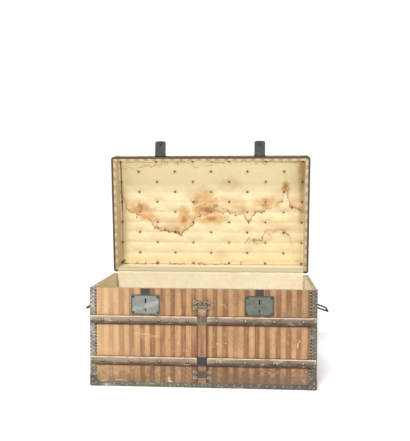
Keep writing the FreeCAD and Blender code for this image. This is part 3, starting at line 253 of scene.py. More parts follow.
def rounded(outline, radius, steps=4):
    """A closed outline whose corners are rounded: each corner becomes an arc drawn as the
    quadratic curve (1-t)^2 a + 2 t (1-t) corner + t^2 b between points a and b beside it."""
    outline = np.asarray(outline, float)
    near = []
    for turn in (1, -1):
        way = np.roll(outline, turn, 0) - outline
        far = np.linalg.norm(way, axis=1)[:, None]
        near.append((outline + way * np.minimum(radius, 0.49 * far) / far)[:, None])
    t = np.linspace(0, 1, steps)[None, :, None]
    curve = (1 - t) ** 2 * near[0] + 2 * t * (1 - t) * outline[:, None] + t ** 2 * near[1]
    return curve.reshape(-1, 2)


def corner_path(side, shrink, xs):
    """The plan of one long wall with its two round corners, from left to right: arcs
    middle + radius (cos a, sin a), and the given xs between them."""
    a = np.linspace(0, math.pi / 2, 7)[:-1]
    radius = CORNER - shrink
    arc_x, arc_y = -FLAT_X - radius * np.cos(a), FLAT_Y + radius * np.sin(a)
    x = np.concatenate([arc_x, xs, -arc_x[::-1]])
    y = np.concatenate([arc_y, np.full(len(xs), HALF_Y - shrink), arc_y[::-1]])
    return stacked(x, side * y)


def box_path(half_x, half_y, radius, steps=26):
    """A closed rectangle with rounded corners, walked once round, with even steps."""
    corner = np.linspace(0, math.pi / 2, 5)[1:-1]
    sides = []
    for turn, (c, s) in enumerate(((1, 0), (0, 1), (-1, 0), (0, -1))):
        along, across = (half_x, half_y) if turn % 2 == 0 else (half_y, half_x)
        along, across = along - radius, across - radius
        side = np.concatenate([
            stacked(np.linspace(-along, along, steps), -across - radius),
            stacked(along + radius * np.sin(corner), -across - radius * np.cos(corner))])
        sides.append(side @ np.array([[c, s], [-s, c]]))
    return np.concatenate(sides)


def grid_faces(rows, columns, round_rows=False, round_columns=False):
    """Four cornered faces over points numbered row by row. A round direction joins its last
    line to its first."""
    row = np.arange(rows if round_rows else rows - 1)[:, None]
    column = np.arange(columns if round_columns else columns - 1)
    ahead, beside = (row + 1) % rows, (column + 1) % columns
    return stacked(row * columns + column, ahead * columns + column,
                   ahead * columns + beside, row * columns + beside).reshape(-1, 4)


def skin(outer, inner, round_rows=False, holes=None):
    """A closed skin of two grids of equal size: the outer faces, the inner faces and a wall
    along every edge that only one outer face has."""
    rows, columns = outer.shape[:2]
    step = rows * columns
    faces = grid_faces(rows, columns, round_rows)
    if holes is not None:
        faces = faces[~holes.ravel()]
    edges = np.concatenate([faces[:, [i, (i + 1) % 4]] for i in range(4)])
    key = np.sort(edges, 1) @ [step, 1]
    values, count = np.unique(key, return_counts=True)
    rim = edges[np.isin(key, values[count == 1])]
    wall = stacked(rim[:, 1], rim[:, 0], rim[:, 0] + step, rim[:, 1] + step)
    points = np.concatenate([outer.reshape(-1, 3), inner.reshape(-1, 3)])
    return points, np.concatenate([faces, faces[:, ::-1] + step, wall]).tolist()


def bar(stations):
    """A closed bar through stations of a closed profile, [station, profile point, xyz], with
    flat ends."""
    rows, columns = stations.shape[:2]
    ends = [list(range(columns))[::-1], list(range((rows - 1) * columns, rows * columns))]
    return (stations.reshape(-1, 3),
            grid_faces(rows, columns, round_columns=True).tolist() + ends)


def cap(rows, columns):
    """Faces of a round grid that is closed by a fan to one point before it, and by one face
    over its last row."""
    around = np.arange(columns)
    fan = stacked(0, 1 + around, 1 + (around + 1) % columns).tolist()
    side = (grid_faces(rows, columns, round_columns=True) + 1).tolist()
    return fan + side + [(1 + (rows - 1) * columns + around)[::-1].tolist()]


def gathered(parts):
    """Several (points, faces) as one."""
    points, faces, start = [], [], 0
    for part_points, part_faces in parts:
        points.append(part_points)
        faces += [[start + corner for corner in face] for face in part_faces]
        start += len(part_points)
    return np.concatenate(points), faces


def crossed(ways, usual, other, axis):
    """Two unit directions across each way; the first is also across the usual direction, or
    across the other one where the way runs along the axis."""
    first = unit(np.cross(ways, np.where(np.abs(ways[:, [axis]]) < 0.9, [usual], [other])))
    return first, np.cross(ways, first)


def domes(seats, radius, rise, rings=3, sides=10, uneven=0.08, seed=1, lid=False):
    """Low round heads on seats (places, way out). Over a head, t runs from 0 at its top to 1
    at its foot, and a round it: place + out * rise * cos(t 90 deg) + side(a) * radius *
    sin(t 90 deg)."""
    places = [np.atleast_2d(at) for at, _ in seats]
    outs = np.concatenate([at * 0 + out for at, (_, out) in zip(places, seats)])
    places = np.concatenate(places)
    if lid:
        places, outs = opened(places), opened(places + outs) - opened(places)
    outs = unit(outs)
    size = 1 - uneven * np.random.default_rng(seed).random((len(places), 1, 1, 1))
    first, second = crossed(outs, [1.0, 0, 0], [0, 0, 1.0], 0)
    t = ((np.arange(rings) + 1) / rings * math.pi / 2)[:, None, None]
    a = (np.arange(sides) / sides * 2 * math.pi)[:, None]
    flat = np.cos(a) * first[:, None] + np.sin(a) * second[:, None]
    ring = size * (outs[:, None, None] * rise * np.cos(t)
                   + flat[:, None] * radius * np.sin(t)) + places[:, None, None]
    top = (places + outs * rise * size[:, 0, 0])[:, None]
    points = np.concatenate([top, ring.reshape(len(places), -1, 3)], 1)
    return gathered([(head, cap(rings, sides)) for head in points])


def tube(path, radius, sides=8):
    """A closed round bead along an open path: ring a of station k is path + radius (n cos a +
    b sin a), where n and b stand across the path."""
    first, second = crossed(unit(np.gradient(path, axis=0)), [0, 0, 1.0], [1.0, 0, 0], 2)
    a = (np.arange(sides) / sides * 2 * math.pi)[:, None]
    return bar(path[:, None] + radius * (first[:, None] * np.cos(a)
                                         + second[:, None] * np.sin(a)))


def piece(name, part, paint, body, nodes=(), slot=None, uv=None, sharp=50, **values):
    """A mesh object of the trunk: its faces are turned outwards, it takes its UV map and its
    values per point, and it rides on its body."""
    points, faces = part
    mesh = bpy.data.meshes.new(name)
    mesh.from_pydata(points.tolist(), [], faces)
    work = bmesh.new()
    work.from_mesh(mesh)
    bmesh.ops.recalc_face_normals(work, faces=work.faces)
    work.to_mesh(mesh)
    work.free()
    if uv is not None:
        corners = np.empty(len(mesh.loops), np.int32)
        mesh.loops.foreach_get("vertex_index", corners)
        layer = mesh.uv_layers.new(name="Cloth")
        layer.uv.foreach_set("vector", uv[corners].astype(np.float32).ravel())
    for key, value in values.items():
        attribute = mesh.attributes.new(key, "FLOAT", "POINT")
        attribute.data.foreach_set("value", np.asarray(value, np.float32).ravel())
    mesh.polygons.foreach_set("use_smooth", np.full(len(mesh.polygons), True))
    mesh.set_sharp_from_angle(angle=math.radians(sharp))
    mesh.materials.append(paint)
    made = bpy.data.objects.new(name, mesh)
    bpy.context.scene.collection.objects.link(made)
    if body:
        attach(made, body)
    if nodes:
        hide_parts(*nodes)
    return made


def covering(name, faces, spread, paint, body, nodes, slot, sharp=50, **how):
    """A piece of cloth between its outer and its inner points, with its flat coordinates on
    both. The lid's is turned back with it."""
    if body == "lid":
        faces = [opened(side) for side in faces]
    uv = stacked(*spread).reshape(-1, 2)
    return piece(name, skin(*faces, **how), paint, body, nodes, slot, np.concatenate([uv, uv]),
                 sharp)


def finish_nodes(paint, *names, bevel=None):
    """Gives nodes of the frame their material and, if asked, softer edges."""
    for name in names:
        made = frame["nodes"][name]
        made.data.materials.clear()
        made.data.materials.append(paint)
        if bevel:
            made.modifiers.new("Weld", "WELD").merge_threshold = 1e-5
            soft = made.modifiers.new("Bevel", "BEVEL")
            soft.width, soft.segments, soft.limit_method = bevel, 2, "ANGLE"
            soft.angle_limit, soft.harden_normals = math.radians(35), False


# ---------------------------------------------------------------- tools for materials

class Wire:
    """An output of a node. Sums, products and methods of wires add nodes that take them in."""

    def __init__(self, w, socket):
        self.w, self.socket = w, socket

    def __add__(self, other):
        return self.w.math("ADD", self, other)

    def __sub__(self, other):
        return self.w.math("SUBTRACT", self, other)

    def __rsub__(self, other):
        return self.w.math("SUBTRACT", other, self)

    def __mul__(self, other):
        return self.w.math("MULTIPLY", self, other)

    def __truediv__(self, other):
        return self.w.math("DIVIDE", self, other)

    def __rtruediv__(self, other):
        return self.w.math("DIVIDE", other, self)

    def __abs__(self):
        return self.w.math("ABSOLUTE", self)

    def __lt__(self, other):
        return self.w.math("LESS_THAN", self, other)

    def __gt__(self, other):
        return self.w.math("GREATER_THAN", self, other)

    __radd__, __rmul__ = __add__, __mul__

    def split(self):
        made = self.w.tree.nodes.new("ShaderNodeSeparateXYZ")
        self.w.join(made.inputs[0], self)
        return [Wire(self.w, socket) for socket in made.outputs]

    def scaled(self, x, y, z):
        return self.w.vector("MULTIPLY", self, (x, y, z))

    def steps(self, low, high, to_low=0, to_high=1):
        """A smooth step: from to_low, below low, to to_high, above high."""
        return self.w.add("ShaderNodeMapRange", self, low, high, to_low, to_high,
                          interpolation_type="SMOOTHSTEP")

    def noise(self, scale, detail=3, rough=0.5, bend=0, out=0):
        return self.w.add("ShaderNodeTexNoise", out=out, named={
            "Vector": self, "Scale": scale, "Detail": detail, "Roughness": rough,
            "Distortion": bend})

    def shaken(self, amount, scale, detail=3, rough=0.5):
        """Noise about 0."""
        return (self.noise(scale, detail, rough) - 0.5) * amount

    def cells(self, scale, feature):
        return self.w.add("ShaderNodeTexVoronoi", feature=feature, named={
            "Vector": self, "Scale": scale, "Randomness": 1})

    def blots(self, spots):
        """The least distance to a set of ellipses (x, y, half width, half height), each given
        in millimetres and counted in its own radii."""
        far = []
        for x, y, wide, high in spots:
            apart = self.w.vector("SUBTRACT", self, (x * MM, y * MM, 0))
            apart = self.w.vector("DIVIDE", apart, (wide * MM, high * MM, 1))
            far.append(self.w.vector("LENGTH", apart, out=1))
        return functools.reduce(lambda a, b: self.w.math("MINIMUM", a, b), far)

    def curve(self, points, half_x, half_y):
        """A smooth curve through points (x, y) in millimetres, over a box about 0."""
        height = self.w.add("ShaderNodeFloatCurve")
        node = height.socket.node
        line = node.mapping.curves[0]
        share = [((x * MM + half_x) / (2 * half_x), (y * MM + half_y) / (2 * half_y))
                 for x, y in points]
        line.points[0].location, line.points[-1].location = share[0], share[-1]
        for x, y in share[1:-1]:
            line.points.new(x, y)
        node.mapping.update()
        self.w.join(node.inputs[1], self.w.add("ShaderNodeMapRange", self, -half_x, half_x))
        return self.w.add("ShaderNodeMapRange", height, 0, 1, -half_y, half_y)


class Wiring:
    """Adds nodes to one tree; its methods give back wires."""

    def __init__(self, tree):
        self.tree = tree

    def join(self, socket, value):
        """Links a wire to an input or sets the input. A tuple is a screen colour there, if the
        input takes a colour."""
        if isinstance(value, Wire):
            self.tree.links.new(value.socket, socket)
        elif socket.type == "RGBA":
            socket.default_value = (*(linear(*value) if type(value) is tuple else value), 1)
        else:
            socket.default_value = value

    def add(self, kind, *values, out=0, named=None, **settings):
        made = self.tree.nodes.new(kind)
        for key, value in settings.items():
            setattr(made, key, value)
        for socket, value in zip(made.inputs, values):
            self.join(socket, value)
        for key, value in (named or {}).items():
            self.join(made.inputs[key], value)
        return Wire(self, made.outputs[out])

    def math(self, operation, *values, clamp=False):
        return self.add("ShaderNodeMath", *values, operation=operation, use_clamp=clamp)

    def vector(self, operation, *values, out=0):
        return self.add("ShaderNodeVectorMath", *values, operation=operation, out=out)

    def pack(self, x, y, z=0):
        return self.add("ShaderNodeCombineXYZ", x, y, z)

    def blend(self, share, a, b):
        made = self.tree.nodes.new("ShaderNodeMix")
        made.data_type, made.clamp_factor = "RGBA", True
        for index, value in ((0, share), (6, a), (7, b)):
            self.join(made.inputs[index], value)
        return Wire(self, made.outputs[2])

    def coats(self, base, *coats):
        """Lays coats (share, tone) over a base. In (share, tone, strength) the tone is first
        mixed with what it covers."""
        for share, tone, *strength in coats:
            if strength:
                tone = self.blend(*strength, base, tone)
            base = self.blend(share, base, tone)
        return base

    def bump(self, height, strength, distance):
        return self.add("ShaderNodeBump", named={"Height": height, "Strength": strength,
                                                 "Distance": distance})

    def place(self):
        return self.add("ShaderNodeTexCoord", out=3)

    def facing(self):
        return self.add("ShaderNodeTexCoord", out=1)

    def cloth(self):
        return self.add("ShaderNodeUVMap", uv_map="Cloth")

    def value(self, name):
        return self.add("ShaderNodeAttribute", attribute_name=name, out=2)

    def group(self, build, *values):
        node = self.tree.nodes.new("ShaderNodeGroup")
        node.node_tree = build()
        for socket, value in zip(node.inputs, values):
            self.join(socket, value)
        return [Wire(self, socket) for socket in node.outputs]


def node_group(name, inputs, outputs):
    """Turns a recipe into a node group that is built the first time that it is asked for. The
    recipe takes a wire for each input and gives back the wires of the outputs, all numbers."""
    def keep(recipe):
        @functools.cache
        def give():
            made = bpy.data.node_groups.new(name, "ShaderNodeTree")
            for way, keys in (("INPUT", inputs), ("OUTPUT", outputs)):
                for key in keys:
                    kind = "Vector" if key in ("Vector", "Facing") else "Float"
                    made.interface.new_socket(key, in_out=way, socket_type="NodeSocket" + kind)
            w = Wiring(made)
            given = made.nodes.new("NodeGroupInput").outputs
            ready = made.nodes.new("NodeGroupOutput").inputs
            for socket, wire in zip(ready, recipe(w, *[Wire(w, given[key]) for key in inputs])):
                w.join(socket, wire)
            return made
        return give
    return keep


def material(name, recipe):
    """A node material: the recipe gives the wires and numbers of its shader."""
    made = bpy.data.materials.new(name)
    made.use_nodes = True
    w = Wiring(made.node_tree)
    shader = made.node_tree.nodes["Principled BSDF"]
    for key, value in recipe(w).items():
        w.join(shader.inputs[key.replace("_", " ")], value)
    made.diffuse_color = (0.5, 0.45, 0.4, 1)
    return made


def painted(name):
    """Turns a recipe into a material that is made the first time that it is asked for."""
    return lambda recipe: functools.cache(lambda: material(name, recipe))


@node_group("Plain weave", ("Vector", "Thread"), ("Height", "Shade"))
def weave(w, place, thread):
    """Plain weave: |sin| ridges of the two threads, each over the other in turn."""
    x, y, _ = w.vector("DIVIDE", place, w.pack(thread, thread, 1)).split()
    across, along = (abs(w.math("SINE", way * math.pi)) for way in (x, y))
    turn = abs(w.math("MODULO", w.math("FLOOR", x) + w.math("FLOOR", y), 2))
    height = across * turn + along * (1 - turn)
    return height * place.noise(900, 2).steps(0.2, 0.7, 0.7, 1), height.steps(0.1, 0.8)


@node_group("Mottle", ("Vector", "Size", "Spread"), ("Share", "Fine"))
def mottle(w, place, size, spread):
    """Blotches at two sizes, drawn together to a share between 0 and 1."""
    scale = 1 / size
    fine = place.noise(scale * 7, 4, 0.65)
    share = place.noise(scale, 4, 0.6) * 0.65 + fine * 0.35
    return share.steps(0.5 - spread, 0.5 + spread), fine.steps(0.3, 0.7)


@node_group("Wood grain", ("Vector", "Size"), ("Share", "Pores"))
def grain(w, place, size):
    """Wood grain along X of the given vector: stretched noise bent by a slower one, and short
    dark pores."""
    scale = 1 / size
    long_way = place.scaled(0.06, 1, 1)
    bend = long_way.noise(scale * 0.5, 2)
    bands = w.vector("ADD", long_way, w.pack(0, bend, bend)).noise(scale, 6, 0.65, 0.6)
    pores = place.scaled(0.12, 1, 1).noise(scale * 4, 3, 0.7)
    return bands.steps(0.32, 0.68), pores.steps(0.56, 0.7)


@node_group("Scratches", ("Vector", "Size"), ("Share",))
def scratches(w, place, size):
    """Thin broken lines: noise drawn out along two directions, kept only near its middle
    value, and broken up by blotches."""
    scale = 1 / size
    lines = [abs(place.scaled(*turn).noise(scale * 1.7, 2) - 0.5).steps(0, 0.012, 1, 0)
             for turn in ((1, 0.12, 0.12), (0.15, 1, 0.4))]
    return [w.math("MAXIMUM", *lines) * place.noise(scale * 0.8).steps(0.52, 0.66)]


@node_group("Pressed net", ("Vector", "Facing", "Pitch"), ("Pit", "Rim"))
def pressed_net(w, place, facing, pitch):
    """Pits on an even net with a second net half a step on, in the plane that the surface
    faces: for each net, the distance to its nearest crossing."""
    bend = w.vector("SUBTRACT", w.add("ShaderNodeTexNoise", out=1, named={
        "Vector": place, "Scale": 60}), (0.5, 0.5, 0.5)).scaled(0.007, 0.007, 0.007)
    x, y, z = w.vector("ADD", place, bend).split()
    side, _, top = w.vector("ABSOLUTE", facing).split()
    side, top = side > 0.6, top > 0.6
    ways = x * (1 - side) + y * side, z * (1 - top) + y * top
    far = []
    for shift in (0, 0.5):
        off = [w.math("FRACT", way / pitch + shift) - 0.5 for way in ways]
        far.append(w.vector("LENGTH", w.pack(*off), out=1))
    near = w.math("MINIMUM", *far)
    worn = place.noise(48).steps(0.36, 0.6, 0.35, 1)
    return near.steps(0.2, 0.31, 1, 0) * worn, near.steps(0.31, 0.42) * worn


@painted("striped canvas")
def striped_canvas(w):
    tone, size, cloth, place = tones(), sizes(), w.cloth(), w.place()
    u, v, _ = cloth.split()
    x, y, z = place.split()
    along = w.pack(u, v * 0.035)
    turn = (u + along.shaken(0.012, 22, 2) - size.stripe_start) / size.stripe_pitch
    wave = w.math("COSINE", turn * (2 * math.pi))
    brown = wave.steps(-0.35, 0.4) * place.scaled(1, 1, 0.5).noise(11).steps(0.34, 0.54, 0.45, 1)
    middles = wave.steps(-1, -0.84, 1, 0) * 0.3 + wave.steps(0.93, 1) * 0.1
    fine, broad = along.noise(250, 4, 0.75), along.noise(46, 3, 0.6)
    flecks = w.pack(u, v * 0.16).noise(380, 4, 0.75)
    bent = w.vector("ADD", place, w.add("ShaderNodeTexNoise", out=1, named={
        "Vector": place, "Scale": 90, "Detail": 3}).scaled(0.012, 0.012, 0.012))
    crack = bent.scaled(1, 1, 0.4).cells(210, "DISTANCE_TO_EDGE").steps(0, 0.1, 1, 0)
    aged = place.scaled(1, 1, 0.6).noise(32, 5, 0.7)
    dirt, specks = w.group(mottle, place, 0.11, 0.17)
    low, right = z.steps(0, 0.17, 0.95, 0), x.steps(-0.35, 0.45, 0, 0.4)
    grime = w.math("MULTIPLY", dirt, low + right + 0.2, clamp=True)
    foot = z.steps(0.016, 0.085, 1, 0) * x.steps(-0.3, 0.4, 0.35, 0.95)
    on_wall = abs(y).steps(HALF_Y - 1.5 * MM, HALF_Y - 0.8 * MM)
    # Painted shadow along each slat row: a dark band set low, so it is wider below the slat than
    # above it.
    beside = [abs(z - (slat + SLAT_HEIGHT / 2 - 2.5 * MM)).steps(
        SLAT_HEIGHT / 2, SLAT_HEIGHT / 2 + 7 * MM, 0.95, 0) * on_wall for slat in SLAT_ROWS]
    lowest = z.steps(0.096, 0.08, 0, 0.55) * specks.steps(0, 1, 0.6, 1)
    # Painted shadow beside the strap, wider on its right side.
    strap_shadow = x.steps(0.018, 0.033, 0.85, 0) * x.steps(-0.026, -0.019)
    front = (y < -HALF_Y + 2 * MM) * (z < 0.312)
    marks, = w.group(scratches, place, 0.045)
    chips = w.pack(x, z).blots(CHIPS) + place.shaken(2, 210, 4, 0.7)
    knit, shade = w.group(weave, cloth, size.thread)
    base = w.coats(
        w.blend(brown, tone.stripe_tan, tone.stripe_brown),
        (middles, (224, 184, 130)),
        (broad.steps(0.4, 0.66, 0, 0.28), (150, 104, 70), 0.5),
        (broad.steps(0.46, 0.3, 0, 0.3), (214, 172, 122)),
        (fine.steps(0.54, 0.72, 0, 0.45), (104, 68, 44)),
        (fine.steps(0.47, 0.3, 0, 0.4), (232, 194, 142)),
        (crack * place.noise(16, 4).steps(0.46, 0.62, 0, 0.4), (118, 78, 50)),
        (aged.steps(0.5, 0.68, 0, 0.5), (126, 84, 50), 0.6),
        (aged.steps(0.45, 0.3, 0, 0.4), (244, 198, 128), 0.6),
        (flecks.steps(0.56, 0.68, 0, 0.55), (104, 70, 46)),
        (x.steps(-0.2, -0.42, 0, 0.8), (246, 204, 152), 0.55),
        (grime, (96, 72, 56), 0.66),
        (foot * specks.steps(0.1, 0.8, 0.35, 1), (124, 106, 90)),
        (beside[0], (70, 48, 34)),
        (beside[1], (70, 48, 34)),
        (z.steps(0.285, 0.3, 0, 0.28) * x.steps(-0.3, -0.15), (96, 64, 46), 0.5),
        (lowest, (84, 56, 40), 0.5),
        (strap_shadow * front, (82, 56, 40)),
        (marks * 0.25, (238, 214, 182)),
        (chips.steps(0.45, 1.1, 1, 0) * (y < 0) * 0.6, (240, 218, 188)),
        (place.noise(160, 4, 0.7).steps(0.66, 0.72, 0, 0.55), (236, 205, 165)),
        ((1 - shade) * 0.16, (92, 58, 38)))
    return dict(Base_Color=base, Roughness=0.42 + dirt * 0.2, Specular_IOR_Level=0.35,
                Normal=w.bump(knit * 0.6 + fine * 0.4, 0.35, 0.0006))


def cotton(w, base, cloudy, details):
    """A cotton lining, with its clouds, weave and soft folds; details paints what it has
    besides."""
    cloth, place = w.cloth(), w.place()
    knit, shade = w.group(weave, cloth, 0.0011)
    cloud, fine = w.group(mottle, place, 0.16, 0.2)
    base = w.coats(w.blend(cloud, base, cloudy), (fine * 0.16, (206, 178, 128)),
                   (place.noise(520, 3, 0.8).steps(0.58, 0.72, 0, 0.3), (188, 160, 112)))
    base = w.coats(details(w, cloth, place, base), ((1 - shade) * 0.10, (176, 146, 100)))
    return dict(Base_Color=base, Roughness=0.9, Specular_IOR_Level=0.15, Sheen_Weight=0.12,
                Sheen_Roughness=0.5,
                Normal=w.bump(knit * 0.15 + place.noise(26, 4, 0.6), 0.35, 0.0016))


def pale_lining():
    """The lining's tone brought towards white."""
    return [channel + (1 - channel) * 0.35 for channel in tones().lining]


def wall_details(w, cloth, place, base):
    """Shade in the upright corners, a paler left wall and a paler lid."""
    x, y, z = place.split()
    corner = abs(x).steps(0.418, 0.4315) * abs(y).steps(0.234, 0.2475)
    return w.coats(base, (corner * 0.6, (120, 96, 66)),
                   (x.steps(-0.4305, -0.4318) * 0.55, (214, 190, 146)),
                   (z.steps(RIM, RIM + 4 * MM, 0, 0.5), (214, 202, 164)))


def gusset_details(w, cloth, place, base):
    """The fold line, with the cloth darker above it."""
    _, v, _ = cloth.split()
    fold = v + (cloth.shaken(0.010, 14, 4, 0.6) + 0.007)
    return w.coats(base, (fold.steps(-0.001, 0.001, 0, 0.8), (184, 174, 142)),
                   (abs(fold).steps(0.0006, 0.0032, 0.7, 0), (140, 110, 72)))


def quilt_details(w, cloth, place, base):
    """Painted light towards the front edge, painted shade round the tacks, tide lines, stains,
    creases drawn as painted shade and the dark seams of the edge.
    """
    u, v, _ = cloth.split()
    apart = []
    for shift in (0, 0.5):
        off = [(w.math("FRACT", way / step + shift) - 0.5) * step
               for way, step in zip((u, v), TACK_STEPS)]
        apart.append(w.vector("LENGTH", w.pack(*off), out=1))
    # Painted light: the ceiling is painted paler towards the lid's front edge; towards the hinges
    # it is a little darker.
    base = w.coats(base, (v.steps(-0.02, -0.18, 0, 0.9), (255, 242, 199)),
                   (v.steps(0, 0.2, 0, 0.5), (236, 216, 170)),
                   (w.math("MINIMUM", *apart).steps(0.003, 0.013, 0.5, 0), (184, 146, 92)))
    shake = cloth.shaken(0.075, 30, 4, 0.55) + cloth.scaled(1, 0.3, 1).shaken(0.028, 95, 2)
    drift = cloth.noise(8).steps(0.3, 0.55)
    for line, reach, depth, side, ghost, end in (
            (TIDE, 0.10, 0.38, 1, 0.5, 0.5), (ARCH, 0.05, 0.16, -1, 0.35, 0.375),
            (FRONT_LINE, 0.03, 0.2, 1, 0, 0.5)):
        away = (v - (u.curve(line, INSIDE_X, 0.25) + shake)) * -side
        fill = away.steps(-0.001, 0.0015) * away.steps(0, reach, 1, 0)
        base = w.coats(base, (fill * (drift * depth), (206, 150, 92)))
        drawn = u.steps(end - 0.02, end + 0.02, 1 if ghost else 0.45, 0)
        for shift, wide, share in ((0, 0.0066, drawn), (0.012, 0.0036, ghost)):
            thin = abs(away - shift).steps(0, wide, 1, 0)
            base = w.blend(thin * (share * (drift * 0.7 + 0.3)), base, tones().stain)
    for spots, scale, shaken, share, tone in (
            (FAINT_STAINS, 16, 2.6, 0.3, (206, 156, 98)),
            (SOFT_STAINS, 30, 2.1, 0.68, (212, 160, 98)),
            (DEEP_STAINS, 60, 1.9, 0.6, (160, 106, 56))):
        near = (cloth.blots(spots) + cloth.shaken(shaken, scale, 5, 0.6)).steps(0.4, 1.35, 1, 0)
        base = w.coats(base, (near * share, tone))
    # Dark crease lines in the folded places: painted shade of the folds, in the brown of the
    # stains.
    slant = v + cloth.shaken(0.12, 15, 4) + abs(u + 0.09) * 0.5
    crease = (abs(w.math("FRACT", slant * 62) - 0.5).steps(0, 0.26, 1, 0)
              * cloth.blots(FOLDED).steps(0.3, 1.1, 1, 0) * cloth.noise(40).steps(0.4, 0.62))
    waver = cloth.shaken(0.05, 12, 4)
    slot = (abs(u + 0.4225 + waver * 0.12).steps(0.0015, 0.0045, 1, 0)
            * (v + waver).steps(-0.03, 0.01, 0.9, 0.3))
    front_hem = (abs(v + 0.2375 + waver * 0.16).steps(0.0005, 0.003, 0.7, 0)
                 * cloth.noise(7, 2).steps(0.4, 0.5, 0.35, 1))
    return w.coats(base, (crease * 0.8, (146, 98, 54)),
                   ((u + waver).steps(0.395, 0.425) * v.steps(-0.02, 0.1, 0.6, 0.15),
                    (166, 120, 76)),
                   (slot, (92, 64, 38)), (front_hem, (120, 82, 48)),
                   (abs(v - 0.2445).steps(0.001, 0.003, 0.6, 0), (132, 98, 62)))


@painted("cotton lining")
def wall_cotton(w):
    return cotton(w, pale_lining(), (244, 232, 196), wall_details)


@painted("hinge cloth")
def gusset_cotton(w):
    return cotton(w, pale_lining(), (244, 232, 196), gusset_details)


@painted("quilted cotton")
def quilt_cotton(w):
    return cotton(w, tones().lining, (238, 220, 176), quilt_details)


@painted("rim tape")
def rim_webbing(w):
    knit, _ = w.group(weave, w.cloth(), 0.0011)
    worn, fine = w.group(mottle, w.place(), 0.03, 0.14)
    base = w.coats(tones().tape, (worn, (150, 134, 110)), (fine * 0.4, (214, 200, 172)))
    return dict(Base_Color=base, Roughness=0.8, Specular_IOR_Level=0.25,
                Normal=w.bump(knit * 0.6 + fine, 0.5, 0.0007))


@painted("striped tape")
def lid_webbing(w):
    cloth = w.cloth()
    wave = w.math("COSINE", cloth.split()[0] * (2 * math.pi / sizes().stripe_pitch))
    worn, fine = w.group(mottle, w.place(), 0.02, 0.14)
    knit, _ = w.group(weave, cloth, 0.0011)
    base = w.coats((226, 200, 164), (wave.steps(-0.1, 0.2, 0, 0.62), (150, 112, 80)),
                   (worn * 0.5, (206, 184, 146)), (fine * 0.25, (110, 82, 58)))
    return dict(Base_Color=base, Roughness=0.7, Specular_IOR_Level=0.3,
                Normal=w.bump(knit + fine, 0.5, 0.0007))


@painted("slat wood")
def slat_wood(w):
    tone, place = tones(), w.place()
    lines, pores = w.group(grain, place, 0.008)
    dirt, specks = w.group(mottle, place.scaled(0.4, 1, 1), 0.045, 0.16)
    u, v, _ = w.cloth().split()
    streaks = place.scaled(0.12, 1, 1).noise(130, 4, 0.75)
    # Worn bare edges, strongest on the upper edges, where the pale tone is also a painted
    # highlight.
    rubbed_and_lit = w.value("wear") * place.scaled(0.5, 1, 1).noise(60, 4, 0.7).steps(0.26, 0.5)
    patch = place.scaled(0.35, 1, 1).noise(75, 4, 0.7)
    # A dark ring round each nail, set 1.5 mm low: grime and a painted shadow under the head.
    ring = w.pack(abs(u), v + 1.5 * MM).blots([(at, 0, 1000, 1000) for at in NAILS])
    base = w.coats(
        w.blend(lines, tone.wood, w.blend(0.75, tone.wood, (82, 64, 48))),
        (dirt * 0.65, (182, 158, 128)),
        (specks * 0.4, (96, 70, 52)),
        (pores * 0.6, (66, 50, 36)),
        (place.split()[0].steps(-0.12, 0.3), (68, 52, 40), 0.76),
        (streaks.steps(0.5, 0.64, 0, 0.75), (62, 46, 34)),
        (rubbed_and_lit, w.blend(lines * 0.35, tone.worn, (196, 168, 136))),
        # Painted shade over the lower part of each slat's face.
        (v.steps(3 * MM, -13 * MM, 0, 0.95), (52, 38, 28), 0.8),
        (patch.steps(0.55, 0.66, 0, 0.6), (196, 176, 150)),
        (ring.steps(5 * MM, 8 * MM, 0.95, 0), (40, 32, 26)))
    return dict(Base_Color=base, Roughness=0.55 + lines * 0.15, Specular_IOR_Level=0.35,
                Normal=w.bump(lines - pores * 0.7, 0.45, 0.0006))


def raw_wood(w, along):
    """Bare softwood with its grain along the given way."""
    tone, place = tones(), w.place()
    lines, pores = w.group(grain, along, 0.014)
    cloud, _ = w.group(mottle, place, 0.09, 0.2)
    base = w.coats(w.blend(lines, tone.board, w.blend(0.55, tone.board, (132, 96, 62))),
                   (pores * 0.35, (92, 64, 40)), (cloud * 0.35, (116, 96, 74)))
    return dict(Base_Color=base, Roughness=0.65 + lines * 0.15, Specular_IOR_Level=0.3,
                Normal=w.bump(lines, 0.4, 0.0008))


@painted("board wood")
def board_wood(w):
    return raw_wood(w, w.place())


@painted("end board wood")
def end_board_wood(w):
    x, y, z = w.place().split()
    return raw_wood(w, w.pack(y, x, z))


@functools.cache
def iron(name):
    """Aged iron from the list of irons: a base coat, rust in blotches and pale flecks worn
    bright.
    """
    base, rust, pale, metallic, roughness, size, flecked = IRONS[name]
    base = {"dark iron": tones().iron,
            "cast iron": [channel / 2 for channel in tones().cast]}.get(name, base)

    def recipe(w):
        place = w.place()
        spots, fine = w.group(mottle, place, size, 0.14)
        flecks = place.noise(2.2 / size, 5, 0.7)
        tone = w.coats(base, (spots * 0.35, rust), (flecks.steps(0.52, 0.66, 0, flecked), pale))
        # On the cast plates the raised relief is painted pale, as wear and painted light, over a
        # base left dark as painted shade.
        if name == "cast iron":
            tone = w.coats(tone, (w.value("high") * flecks.steps(0.3, 0.5), pale))
        marks, = w.group(scratches, place, size)
        return dict(Base_Color=w.coats(tone, (marks * 0.35, pale)), Metallic=metallic,
                    Roughness=roughness + spots * 0.25,
                    Normal=w.bump(fine + flecks * 0.6, 0.4, 0.0005))
    return material(name, recipe)


